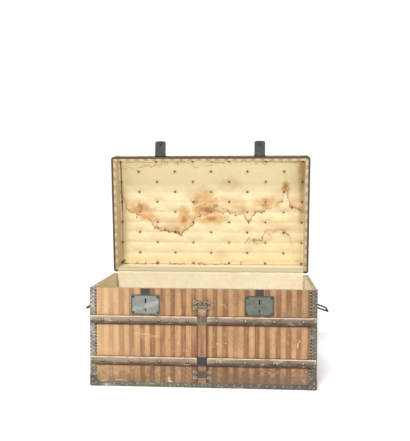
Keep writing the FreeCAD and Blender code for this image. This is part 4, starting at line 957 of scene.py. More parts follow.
@painted("pressed tin")
def pressed_tin(w):
    place = w.place()
    x, y, z = place.split()
    pit, rim = w.group(pressed_net, place, w.facing(), NET_PITCH)
    spots, specks = w.group(mottle, place, 0.03, 0.16)
    fine, _ = w.group(mottle, place, 0.006, 0.12)
    inset = w.math("MAXIMUM", HALF_X - abs(x), HALF_Y - abs(y))
    on_wall = z.steps(RIM, RIM + 2 * MM, 0.85, 0) * z.steps(0.03, 0.045)
    scuff = place.scaled(0.25, 0.25, 1).noise(90, 4, 0.7)
    base = w.coats(
        tones().edging, (spots, (124, 116, 100)),
        (x.steps(-0.3, 0.45, 0, 0.85), (100, 91, 76)),
        (fine * 0.4, (92, 84, 70)),
        # A painted highlight on the raised rim round each pit.
        (rim * 0.2, (214, 206, 188)),
        (pit * (z.steps(0.02, 0.05, 0.4, 1) * x.steps(-0.2, 0.3, 0.62, 0.4)), (24, 20, 16)),
        (inset.steps(0.021, 0.0235) * on_wall, (44, 38, 30)),
        (z.steps(0.03, 0.024, 0, 0.45), (84, 72, 58)),
        (z.steps(0.07, 0.1, 0.55, 0) * specks.steps(0, 0.6, 0.5, 1), (76, 76, 62)),
        (scuff.steps(0.56, 0.66, 0, 0.7), (196, 188, 170)))
    return dict(Base_Color=base, Metallic=0.3, Roughness=0.45 + spots * 0.2,
                Normal=w.bump(specks * 0.2 - pit, 0.7, 0.0006))


@painted("lock plate iron")
def lock_iron(w):
    tone, place = tones(), w.place()
    x, _, z = place.split()
    cloud, specks = w.group(mottle, place, 0.02, 0.2)
    fine = place.noise(420, 4, 0.7)
    shine = (abs(z + x * -0.28 - 0.388).steps(0, 0.016, 1, 0)
             * place.noise(45).steps(0.3, 0.6))
    marks, = w.group(scratches, place, 0.02)
    border = w.math("MAXIMUM", abs(abs(x) - LOCKS[1]).steps(0.050, 0.0535),
                    abs(z - LOCK_MIDDLE).steps(0.033, 0.036))
    # The left plate is painted lighter and the right one darker: painted light and shade on two
    # like plates. shine is a painted highlight band.
    base = w.coats(
        w.blend(cloud, tone.plate, w.blend(0.7, tone.plate, (88, 92, 80))),
        (x.steps(0.1, -0.1, 0.12, 0.4), w.blend(x.steps(-0.1, 0.1), (170, 176, 166),
                                                (70, 72, 64))),
        (shine * 0.6, (186, 190, 178)), (fine.steps(0.58, 0.7, 0, 0.5), (80, 80, 68)),
        (marks * 0.5, (190, 188, 174)), (border * 0.7, (58, 58, 50)))
    return dict(Base_Color=base, Metallic=0.45, Roughness=0.36 + cloud * 0.2,
                Normal=w.bump(fine + specks, 0.25, 0.0004))


@painted("strap leather")
def strap_leather(w):
    place = w.place()
    x, _, z = place.split()
    cloud, _ = w.group(mottle, place, 0.05, 0.18)
    cracks = place.scaled(0.5, 1, 1.6).cells(130, "DISTANCE_TO_EDGE").steps(0, 0.07, 1, 0)
    patches = place.scaled(3, 1, 0.4).noise(24, 4).steps(0.45, 0.7)
    # The side edges are painted dark: dark leather edges and painted shade beside the crown.
    base = w.coats(tones().leather, (cloud, (182, 132, 90)), (patches, (140, 96, 70)),
                   (z.steps(0.29, 0.31) * 0.7, (186, 158, 132)), (cracks * 0.4, (96, 62, 42)),
                   (abs(x).steps(0.0125, 0.0185) * 0.7, (88, 60, 44)))
    bumps = place.cells(620, "SMOOTH_F1") * 0.5 - cracks
    return dict(Base_Color=base, Roughness=0.45 + cloud * 0.2, Specular_IOR_Level=0.4,
                Normal=w.bump(bumps, 0.4, 0.0006))


@painted("pale floor")
def floor_paint(w):
    return dict(Base_Color=w.blend(w.place().noise(2, 2), (246, 246, 246), (243, 243, 243)),
                Roughness=0.9, Specular_IOR_Level=0.1, Emission_Color=(255, 255, 255),
                Emission_Strength=0.3)


# ---------------------------------------------------------------- striped canvas

def end_canvas(name, node, body, side, y, z, sunk=0.0):
    """Canvas on an end at y and z, between its inner face and its outer face."""
    faces = [stacked(side * (HALF_X - deep), y, z) for deep in (sunk, CLOTH)]
    return covering(name, faces, (y + 6 * MM, z), striped_canvas(), body, [node],
                    "stripe_canvas")


class TRUNK_OT_canvas(bpy.types.Operator):
    """Striped canvas glued over the front, the back and the two ends of the body"""
    bl_idname = "trunk.canvas"
    bl_label = "Body canvas"
    heights = np.concatenate([np.linspace(2, 297.7, 20), np.linspace(300, 358, 6), [360.3],
                              np.linspace(366, 395, 4)]) * MM

    def long_side(self, side, name, cuts):
        """Over a long wall and round both its corners, a little slack, and open where a lock's
        case is let in."""
        xs, heights = np.linspace(-FLAT_X, FLAT_X, 61), self.heights
        for low, high in cuts:
            xs = xs[(xs < low - 1 * MM) | (xs > high + 1 * MM)]
            xs = np.sort(np.concatenate([xs, np.linspace(low, high, 6)]))
        path, inner = corner_path(side, 0, xs), corner_path(side, CLOTH, xs)
        way = travelled(path)
        u, z = plan(way, heights)
        sink = -side * SLACK * ripple(u, z, side)
        mid_x, mid_z = (path[1:, 0] + path[:-1, 0]) / 2, (heights[1:] + heights[:-1]) / 2
        beside = np.any([(mid_x > low) & (mid_x < high) for low, high in cuts], axis=0)
        level = (mid_z > LOCK_HOLE[0]) & (mid_z < LOCK_HOLE[1])
        made = covering(name + "_canvas_wrap", (stacked(path[:, :1], path[:, 1:] + sink, z),
                                                stacked(inner[:, :1], inner[:, 1:], z)),
                        (u, z), striped_canvas(), "body", [name + "_canvas"], "stripe_canvas",
                        holes=beside[:, None] & level if cuts else None)
        wide, tall = way[-1] - way[0], np.ptp(heights)
        missing = sum((high - low) * np.ptp(LOCK_HOLE) for low, high in cuts)
        float(wide * tall - missing) if cuts else None

    def end(self, side, name):
        ys = np.linspace(-FLAT_Y, FLAT_Y, 36)
        y, z = plan(ys, self.heights)
        made = end_canvas(name + "_end_canvas", name + "_canvas", "body", side, y, z,
                          SLACK * ripple(y, z, 5 + side) * np.cos(y / FLAT_Y * math.pi / 2))

    def execute(self, context):
        self.long_side(-1, "front", [(lock + LOCK_SIDES[0], lock + LOCK_SIDES[1])
                                     for lock in LOCKS])
        self.long_side(1, "back", [])
        self.end(-1, "left")
        self.end(1, "right")
        return {"FINISHED"}


class TRUNK_OT_lid_canvas(bpy.types.Operator):
    """Striped canvas over the lid: one length up the front, over the arched roof and down the
    back, and a panel on each arched end"""
    bl_idname = "trunk.lid_canvas"
    bl_label = "Lid canvas"

    def surface(self, xs, shrink):
        """Across the lid at x the half depth is Y(x), less in the round corners. The cloth goes
        up to the roof at y = -Y, over it at y = Y s for s from -1 to 1, and down at y = Y."""
        past = np.clip(np.abs(xs) - FLAT_X, 0, CORNER)[:, None]
        full = FLAT_Y + np.sqrt(np.maximum(CORNER ** 2 - past ** 2, 0))
        half = full - shrink
        up = np.linspace(0, 1, 13)[:-1]
        over = half * np.sin(np.linspace(-1, 1, 61) * 1.45) / math.sin(1.45)
        rise = LID_FOOT + (roof(full) - shrink - LID_FOOT) * up
        return stacked(xs[:, None], np.concatenate([-half + 0 * up, over, half + 0 * up], 1),
                       np.concatenate([rise, roof(over) - shrink, rise[:, ::-1]], 1))

    def execute(self, context):
        bend = FLAT_X + CORNER * np.sin(np.linspace(0, math.pi / 2, 7)[1:])
        xs = np.concatenate([-bend[::-1], np.linspace(-FLAT_X, FLAT_X, 49), bend])
        outer, lower = self.surface(xs, 0.0), self.surface(xs, CLOTH)
        lower[..., 0] = np.clip(lower[..., 0], -HALF_X + CLOTH, HALF_X - CLOTH)
        way = travelled(outer[len(xs) // 2][:, 1:])
        u, v = plan(xs, way)
        outer[..., 2] -= SLACK * ripple(u, v, 2) * (np.abs(outer[..., 1]) < HALF_Y - 20 * MM)
        made = covering("lid_canvas_wrap", (outer, lower), (u, v + 0.3), striped_canvas(), "lid",
                        ["lid_canvas"], "stripe_canvas")
        way[-1] - way[0]
        ys = np.linspace(-FLAT_Y, FLAT_Y, 41)
        tall = roof(ys) - CLOTH - LID_FOOT
        y, z = ys[:, None], LID_FOOT + tall[:, None] * np.linspace(0, 1, 9)
        for side, name in ((-1, "left"), (1, "right")):
            made = end_canvas("lid_%s_end_canvas" % name, "lid_end_canvas", "lid", side, y, z)
        return {"FINISHED"}


# ---------------------------------------------------------------- linings and tape

class TRUNK_OT_lining(bpy.types.Operator):
    """Cotton lining of the walls, the floor and the inside of the lid's walls"""
    bl_idname = "trunk.lining"
    bl_label = "Cotton lining"

    def band(self, name, node, low, high, body, seed):
        """Round the inside at the way u and up at z: the corners are slightly drawn round and
        the cloth stands up to 0.4 mm off the boards."""
        inner = box_path(INSIDE_X, INSIDE_Y, 5 * MM)
        outer = box_path(INSIDE_X + LINING, INSIDE_Y + LINING, 0.5 * MM)
        way = walked(np.concatenate([inner, inner[:1]]))
        u, t = (way[:-1] - way[-1] / 2)[:, None], np.linspace(0, 1, 16)
        high = high(inner[:, 1:]) + 0 * u
        z = low + (high - low) * t
        loose = 0.4 * MM * ripple(u * 0.6, z, seed) * np.sin(t * math.pi)
        pull = 1 - loose / INSIDE_Y
        made = covering(name, (stacked(inner[:, :1] * pull, inner[:, 1:] * pull, z),
                               stacked(outer[:, :1], outer[:, 1:], z)),
                        (u, z), wall_cotton(), body, [node], "cream_lining", round_rows=True)
        strips = np.diff(way[:-1], append=2 * way[-2] - way[-3])
        tall = high.max() - low
        (None if body == "body" else float(min((high[:, 0] - low) @ strips,
                                                         way[-1] * tall)))

    def execute(self, context):
        self.band("wall_lining_cloth", "wall_lining", 22 * MM, lambda y: 395 * MM, "body", 1.0)
        self.band("lid_lining_cloth", "lid_wall_lining", LID_FOOT, lambda y: pad(y) + 6 * MM,
                  "lid", 4.0)
        x, y = plan(np.linspace(-INSIDE_X, INSIDE_X, 45), np.linspace(-INSIDE_Y, INSIDE_Y, 27))
        z = 23.8 * MM - 0.3 * MM * ripple(x, y, 3)
        made = covering("floor_lining_cloth", (stacked(x, y, z), stacked(x, y, 22 * MM)), (x, y),
                        wall_cotton(), "body", ["floor_lining"], "cream_lining")
        return {"FINISHED"}


class TRUNK_OT_tape(bpy.types.Operator):
    """Tape glued over the rim of the body and over the rim of the lid"""
    bl_idname = "trunk.tape"
    bl_label = "Rim tapes"

    def over(self, name, node, low, body, paint):
        """From the inner edge of the rim to its outer edge: 1 mm thick, and worn by up to
        0.5 mm on the side that shows."""
        outer, inner = box_path(HALF_X, HALF_Y, CORNER), box_path(INSIDE_X, INSIDE_Y, 0.5 * MM)
        t = np.array([0, 0.06, 0.35, 0.65, 0.94, 1.0])
        flat = inner[:, None] + (outer - inner)[:, None] * t[:, None]
        u = travelled(np.concatenate([outer, outer[:1]]))[:-1, None]
        sag = SLACK * ripple(u, 3 * t, 1) + 0.3 * MM * (np.abs(t - 0.5) > 0.46)
        high, foot = low + 1 * MM, low + sag
        if body == "body":
            high, foot = high - sag, low
        made = covering(name, (stacked(flat[..., 0], flat[..., 1], high),
                               stacked(flat[..., 0], flat[..., 1], foot)), (u, 18 * MM * t),
                        paint, body, [node], "rim_tape", round_rows=True)

    def execute(self, context):
        self.over("rim_tape_cloth", "rim_tape", 395 * MM, "body", rim_webbing())
        self.over("lid_tape_cloth", "lid_rim_tape", 397.8 * MM, "lid", lid_webbing())
        return {"FINISHED"}


# ---------------------------------------------------------------- quilted ceiling

def tack_places():
    """The tacks of the ceiling in the closed lid's plan: six by six, and five by five half a
    step on."""
    sets = []
    for count, reach in ((6, 1.0), (5, 0.8)):
        line = reach * np.linspace(-1, 1, count)
        sets.append(stacked(*plan(424 * line, 240 * line)).reshape(-1, 2))
    return np.concatenate(sets) * MM


def off_tacks(x, y):
    """For each tack, how far every point is from it."""
    return [np.hypot(x - tack_x, y - tack_y) for tack_x, tack_y in tack_places()]


def off_edge(x, y):
    return np.minimum(INSIDE_X - np.abs(x), INSIDE_Y - np.abs(y))


def ease(t):
    """A smooth step over t from 0 to 1: t^2 (3 - 2 t)."""
    t = np.clip(t, 0, 1)
    return t * t * (3 - 2 * t)


def creased(x, y):
    """How far the quilt stands out, from 0 at the tacks to 1 between them: half of it is the
    product of two ridges |sin| on the slanting lines through the tacks, and half a roll
    |sin| between one row of tacks and the next, which is fuller near the hinges."""
    across, along = x / TACK_STEPS[0], y / TACK_STEPS[1]
    first = np.abs(np.sin(math.pi * (across + along)))
    second = np.abs(np.sin(math.pi * (across - along)))
    roll = np.abs(np.sin(math.pi * 2 * along)) ** 0.7
    share = 0.5 + 0.3 * np.clip(0.5 + y / (400 * MM), 0, 1)
    uneven = 0.8 + 0.4 * ripple(x * 0.5, y * 0.7, 11)
    return ((1 - share) * np.sqrt(first * second + 0.02) + share * roll) * uneven


class TRUNK_OT_quilt(bpy.types.Operator):
    """Quilted ceiling of the lid: cotton over wadding, drawn in by 61 tacks"""
    bl_idname = "trunk.quilt"
    bl_label = "Quilted ceiling"

    def execute(self, context):
        """Below the pad's arch by a drop, which is less near the edge; the tacks sit 0.2 mm
        deep in it."""
        size = sizes()
        x, y = plan(np.linspace(-INSIDE_X, INSIDE_X, 174), np.linspace(-INSIDE_Y, INSIDE_Y, 101))
        drop = -size.tuck + (size.puff + size.tuck) * creased(x, y)
        edge = off_edge(x, y) / (14 * MM)
        drop = np.where(edge < 1, drop * np.sqrt(np.clip(edge, 0, 1)), drop)
        drop = self.settled(x, y, drop)
        drop = drop + self.sag(x, y)
        back = 6 * MM + np.minimum(12 * MM, 60 * MM * (1 - (y / INSIDE_Y) ** 2))
        made = covering("ceiling_quilt", (stacked(x, y, pad(y) - drop),
                                          stacked(x, y, pad(y) + back)), (x, y),
                        quilt_cotton(), "lid", ["ceiling_pad"], "quilt", sharp=85)
        tack_x, tack_y = tack_places().T
        sunk = drop.ravel()[[far.argmin() for far in off_tacks(x, y)]] + 0.2 * MM
        lean = tack_y / PAD_RADIUS
        points, faces = domes([(stacked(tack_x, tack_y, pad(tack_y) - sunk),
                                stacked(0, -lean, -np.sqrt(1 - lean ** 2)))],
                              4.6 * MM, 2.2 * MM, rings=4, sides=14, seed=7)
        piece("tack_heads", (opened(points), faces), iron("tack metal"), "lid",
              ["lining_tacks"], "tack_metal")
        return {"FINISHED"}

    def sag(self, x, y):
        """A loose fold left of the middle: 9 mm high, it rises slowly from y = -90 mm towards
        the hinges, falls steeply past y = -30 mm and fades to both sides as a bell 45 mm wide."""
        smooth = ease((y + 90 * MM) / (60 * MM)) * ease((-18 * MM - y) / (12 * MM))
        ruffle = 1 + 0.25 * np.sin((y + 0.5 * np.abs(x + 90 * MM)) / (3.4 * MM))
        return 9 * MM * smooth * ruffle * bell(x + 28 * MM, 45 * MM)

    def settled(self, x, y, start):
        """The quilt's drop after its cloth, a little larger than the ceiling and pinned at the
        tacks and round its edge, has been blown out by its wadding."""
        mesh = bpy.data.meshes.new("quilt_cloth")
        mesh.from_pydata(stacked(x, y, -0.55 * start).reshape(-1, 3).tolist(), [],
                         grid_faces(*x.shape).tolist())
        made = bpy.data.objects.new("quilt_cloth", mesh)
        scene = bpy.context.scene
        scene.collection.objects.link(made)
        held = np.zeros(x.shape, bool)
        held[[0, -1]] = held[:, [0, -1]] = True
        held.flat[[far.argmin() for far in off_tacks(x, y)]] = True
        made.vertex_groups.new(name="held").add(np.flatnonzero(held).tolist(), 1.0, "REPLACE")
        cloth = made.modifiers.new("Cloth", "CLOTH")
        kept = cloth.settings
        kept.quality, kept.mass = 6, 0.25
        kept.tension_stiffness = kept.compression_stiffness = 12
        kept.shear_stiffness, kept.bending_stiffness = 6, 0.35
        kept.vertex_group_mass = "held"
        kept.shrink_min = -0.018
        kept.use_pressure, kept.uniform_pressure_force = True, 3.2
        kept.effector_weights.gravity = 0
        cloth.collision_settings.use_collision = False
        cloth.point_cache.frame_start, cloth.point_cache.frame_end = 1, 24
        for number in range(1, 25):
            scene.frame_set(number)
        shape = made.evaluated_get(bpy.context.evaluated_depsgraph_get())
        moved = np.empty(x.size * 3, np.float32)
        shape.data.vertices.foreach_get("co", moved)
        scene.frame_set(1)
        bpy.data.objects.remove(made)
        drop = -moved.reshape(*x.shape, 3)[..., 2].astype(float)
        if abs(np.percentile(drop, 5)) > abs(np.percentile(drop, 95)):
            drop = -drop
        low, high = -sizes().tuck, sizes().puff
        full = 0.4 * drop / max(np.percentile(drop, 99), 1e-6) + 0.6 * creased(x, y)
        drop = (low * np.clip(off_edge(x, y) / (6 * MM), 0, 1) + full * (high - low)
                - 0.6 * MM * bell(np.min(off_tacks(x, y), 0), 9 * MM))
        return np.clip(drop, -6 * MM, high + 2 * MM)


class TRUNK_OT_hinge_cloth(bpy.types.Operator):
    """Strip of cotton that covers the hinge line inside, shaped for the opened lid"""
    bl_idname = "trunk.hinge_cloth"
    bl_label = "Hinge cloth"

    def execute(self, context):
        """Down the back wall, round the hinge line at 25.4 mm from it, and up the lid."""
        low = stacked(np.linspace(247.6, 247.2, 6), np.linspace(371, 395, 7)[:-1]) * MM
        turn = np.linspace(0, LID_ANGLE + 0.15, 17)
        angle = math.atan2(395 * MM - HINGE_Z, 247.2 * MM - HINGE_Y) - turn
        reach = 25.4 * MM + 0.7 * MM * np.sin(np.linspace(0, math.pi, 17))
        arc = stacked(HINGE_Y + reach * np.cos(angle), HINGE_Z + reach * np.sin(angle))
        high = opened(stacked(0, 247.2, np.linspace(399.4, 422.8, 6)) * MM)[:, 1:]
        line = np.concatenate([low, arc, high[1:]])
        line = line[np.append(True, np.diff(walked(line)) > 0.2 * MM)]
        way = travelled(line)
        y, z = unit(np.gradient(line, axis=0)).T
        side = stacked(-z, y)
        if side[len(side) // 2, 1] < 0:
            side = -side
        u, v = plan(np.linspace(-427, 427, 86) * MM, way)
        crease = 0.7 * MM * ripple(u * 2.2, v * 5, 9) * bell(v, 22 * MM)
        thick = np.clip(np.minimum(v - way[0], way[-1] - v) / 8, 0.12 * MM, 0.8 * MM)
        faces = [stacked(u, line[:, 0] + side[:, 0] * out, line[:, 1] + side[:, 1] * out)
                 for out in (crease, crease - thick)]
        made = covering("hinge_gusset", faces, (u, v), gusset_cotton(), None,
                        ["hinge_cloth_body", "hinge_cloth_lid"], "gusset_cloth")
        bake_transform(made)
        return {"FINISHED"}


# ---------------------------------------------------------------- slats and nails

class TRUNK_OT_slats(bpy.types.Operator):
    """Worn hardwood slats on the front, the back and the roof, with their domed nails"""
    bl_idname = "trunk.slats"
    bl_label = "Slats and nails"

    def slat(self, low_x, high_x, seed, place):
        """One worn slat. Its profile, across from -1 to 1 and out from the wall, has bevelled
        and rounded edges; along x its edges wander by a slow ripple and its ends are rounded.
        place turns (x, across, out) into the trunk's x, y and z."""
        half, thick, bevel = SLAT_HEIGHT / 2, SLAT_THICK, SLAT_BEVEL
        across, out = rounded([(-half, 0), (-half, thick - bevel), (-half + bevel, thick),
                               (half - bevel, thick), (half, thick - bevel), (half, 0)],
                              sizes().slat_round).T
        tip = np.array([0, 0.8, 2.5]) * MM
        x = np.concatenate([low_x + tip,
                            np.linspace(low_x + 6 * MM, high_x - 6 * MM,
                                        int((high_x - low_x) / (9 * MM))),
                            high_x - tip[::-1]])[:, None]
        end = np.minimum(x - low_x, high_x - x)
        tuck = 1 - 0.10 * np.exp(-end / (1.6 * MM))
        wander = sizes().slat_bow * (ripple(x * 0.35, across * 3, seed) - 0.9)
        across = across * tuck + np.sign(across) * wander
        out = (out * np.where(out > 1 * MM, tuck, 1)
               - 0.35 * MM * ripple(x * 0.8, across * 30, seed + 3) * (out > 6 * MM))
        # Edges and ends worn bare; the upper edge is marked more strongly than the lower as a
        # painted highlight.
        edge = np.where(out > 5.5 * MM, bell(np.abs(across) - (half - 1.4 * MM), 2.7 * MM), 0.1)
        wear = (edge * np.where(across > 0, 1.0, 0.35)
                + 0.6 * np.exp(-end / (3 * MM)) * (out > 3 * MM))
        return bar(place(x, across, out)), wear, stacked(x, across)

    def bars(self, name, node, body, slats):
        parts, wear, spread = zip(*[self.slat(*slat) for slat in slats])
        piece(name, gathered(parts), slat_wood(), body, [node], "slat_wood",
              np.concatenate([flat.reshape(-1, 2) for flat in spread]),
              wear=np.concatenate([worn.ravel() for worn in wear]))

    def nails(self, name, node, body, seats, **how):
        piece(name, domes(seats, sizes().nail_head, sizes().nail_rise, 4, 14, **how),
              iron("nail iron"), body, [node], "nail_iron")

    def on_wall(self, side, middle):
        return lambda x, across, out: stacked(x, side * (HALF_Y + out), middle + across)

    def on_roof(self, lean):
        """The slat's foot follows the arch, and the rest of it stands straight on that."""
        c, s = math.cos(lean), math.sin(lean)

        def place(x, across, out):
            far = np.where(out < 0.5 * MM, np.sqrt(ROOF_RADIUS ** 2 - across ** 2),
                           ROOF_RADIUS + out)
            return opened(stacked(x, across * c + far * s,
                                  CROWN - ROOF_RADIUS + far * c - across * s))
        return place

    def execute(self, context):
        end, out = HALF_X - 4 * MM, SLAT_THICK - 0.3 * MM
        xs = np.array([-at for at in NAILS] + [*NAILS]) * MM
        seats = []
        for name, side, spans in (("front", -1, [(-end, -21 * MM), (21 * MM, end)]),
                                  ("back", 1, [(-end, end)])):
            slats = []
            for row, low in enumerate(SLAT_ROWS):
                middle = low + SLAT_HEIGHT / 2
                slats += [(*span, 10 * side + 3 * row + number, self.on_wall(side, middle))
                          for number, span in enumerate(spans)]
                seats.append((stacked(xs, side * (HALF_Y + out), middle), (0, side, 0)))
            self.bars(name + "_slat_bars", name + "_slats", "body", slats)
        self.nails("slat_nail_heads", "slat_nails", "body", seats)
        slats, seats = [], []
        for number in (-1, 0, 1):
            lean = math.asin(ROOF_SLAT_PITCH / ROOF_RADIUS) * number
            slats.append((-end, end, 20 + number, self.on_roof(lean)))
            way, far = np.array([0, math.sin(lean), math.cos(lean)]), ROOF_RADIUS + out
            seats.append((stacked(xs, way[1] * far, CROWN - ROOF_RADIUS + way[2] * far), way))
        self.bars("roof_slat_bars", "roof_slats", "lid", slats)
        self.nails("roof_nail_heads", "roof_slat_nails", "lid", seats, seed=3, lid=True)
        return {"FINISHED"}


# ---------------------------------------------------------------- strap, keepers, cast plates

class TRUNK_OT_strap(bpy.types.Operator):
    """Leather centre strap with its two iron keepers and its two cast plates"""
    bl_idname = "trunk.strap"
    bl_label = "Centre strap"

    def strap(self):
        """A crowned leather profile carried upwards, thinned a little by slow waves."""
        half, thick = 18.5 * MM, 4 * MM
        across, out = rounded([(-half, 0), (-half, thick * 0.55), (-half + 2.4 * MM, thick),
                               (half - 2.4 * MM, thick), (half, thick * 0.55), (half, 0)],
                              1.6 * MM).T
        z = np.linspace(20.5, 350, 74)[:, None] * MM
        piece("strap_of_leather", bar(stacked(
            across * (1 - 0.035 * ripple(z, 0, 5)),
            -(HALF_Y + out * (1 - 0.12 * ripple(z * 0.7, 1, 8))), z)), strap_leather(), "body",
            ["centre_strap"], "strap_leather")

    def keeper(self, name, node, low, paint):
        """A flat iron loop over the strap: its section, a bridge with rounded shoulders, is
        carried upwards and its top and bottom edges turn in."""
        outer = rounded([(-20.9, 0), (-20.9, 6.4), (20.9, 6.4), (20.9, 0)], 1.3, 5)
        inner = rounded([(-19.3, 0), (-19.3, 4.8), (19.3, 4.8), (19.3, 0)], 0.6, 5)
        section = np.concatenate([outer, inner[::-1]]) * MM
        z = np.array([0, 0.5, 1.4, 9, 18, 26, 33.6, 34.5, 35])[:, None] * MM + low
        shrink = np.array([0.7, 0.28, 0, 0, 0, 0, 0, 0.28, 0.7])[:, None, None] * MM
        flat = section - unit(section - section.mean(0)) * shrink
        piece(name, bar(stacked(flat[..., 0], -(HALF_Y + np.maximum(flat[..., 1], 0)), z)),
              paint, "body", [node], "keeper_iron")

    def relief(self, x, z, lower):
        """Height of the cast pattern between 0 and 1: a border bead, a ring and a boss in each
        lobe, and curling ribs across the middle."""
        lobes = np.hypot(np.abs(x) - 28 * MM, np.abs(z) - 11 * MM)
        curl = np.abs(x) - 12 * MM
        swirl = np.sin(np.hypot(curl, z - 2 * MM) * 520 + 2.0 * np.arctan2(z, curl))
        ribs = np.exp(-(x / (24 * MM)) ** 4) * (0.5 + 0.5 * swirl)
        if lower:
            ribs = 0.35 * ribs + 0.8 * bell(z + 13.5 * MM, 1.8 * MM) * (np.abs(x) < 27 * MM)
        return np.clip(bell(lobes - 5.6 * MM, 1.3 * MM) + bell(lobes, 2.2 * MM) + 0.75 * ribs,
                       0, 1.2)

    def cast_plate(self, name, node, low, lower):
        """A lobed plate as a fan of rays: along each ray the share r of the way to the outline
        carries the relief, and the last rings go down to the wall."""
        angle = np.linspace(0, 2 * math.pi, 161)[:-1]
        c, s = np.cos(angle), np.sin(angle)
        wide, deep, lobe = 28 * MM, 11 * MM, 10 * MM
        reach = np.minimum(wide / np.maximum(np.abs(c), 1e-6),
                           16 * MM / np.maximum(np.abs(s), 1e-6))
        along = wide * np.abs(c) + deep * np.abs(s)
        off = wide ** 2 + deep ** 2 - along ** 2
        reach = np.where(off < lobe ** 2, np.maximum(
            reach, along + np.sqrt(np.maximum(lobe ** 2 - off, 0))), reach)
        smooth = (np.roll(reach, 1) + reach + np.roll(reach, -1)) / 3
        reach = np.minimum(smooth, reach + 0.6 * MM)
        r = np.concatenate([np.linspace(0.03, 0.93, 26), [0.965, 0.985, 1.0, 1.0]])[:, None]
        x, z = r * reach * c, r * reach * s
        base = 1.8 * MM + 4.2 * MM / (1 + np.exp((np.abs(x) - 21.8 * MM) / (0.7 * MM)))
        bead = bell(r - 0.95, 0.03)
        high = base + 1.3 * MM * np.minimum(1.0, self.relief(x, z, lower) + bead)
        high[-2] = np.minimum(high[-2], base[-2])
        high[-1] = 0
        middle = low + 21 * MM
        points = np.concatenate([[[0, -(HALF_Y + 6.9 * MM), middle]],
                                 stacked(x, -(HALF_Y + high), z + middle).reshape(-1, 3)])
        # How far the relief stands up; the cast iron paints it pale as wear and painted light.
        shown = np.append(0.5, np.clip((high - base) / (1.3 * MM), 0, 1))
        piece(name, (points, cap(r.size, angle.size)), iron("cast iron"), "body", [node],
              "plate_iron", high=shown ** 2)

    def execute(self, context):
        self.strap()
        self.keeper("upper_keeper_loop", "upper_strap_keeper", 253 * MM, iron("keeper iron"))
        self.keeper("lower_keeper_loop", "lower_strap_keeper", 89 * MM, iron("blued iron"))
        self.cast_plate("upper_cast_plate", "upper_strap_plate", 311 * MM, False)
        self.cast_plate("lower_cast_plate", "lower_strap_plate", 32 * MM, True)
        return {"FINISHED"}


# ---------------------------------------------------------------- iron edging

def on_long(side, x, z, seat):
    """Seats of heads on the front or the back."""
    return stacked(x, side * (HALF_Y + seat), z), (0, side, 0)


def on_end(side, y, z, seat):
    """Seats of heads on an end."""
    return stacked(side * (HALF_X + seat), y, z), (side, 0, 0)


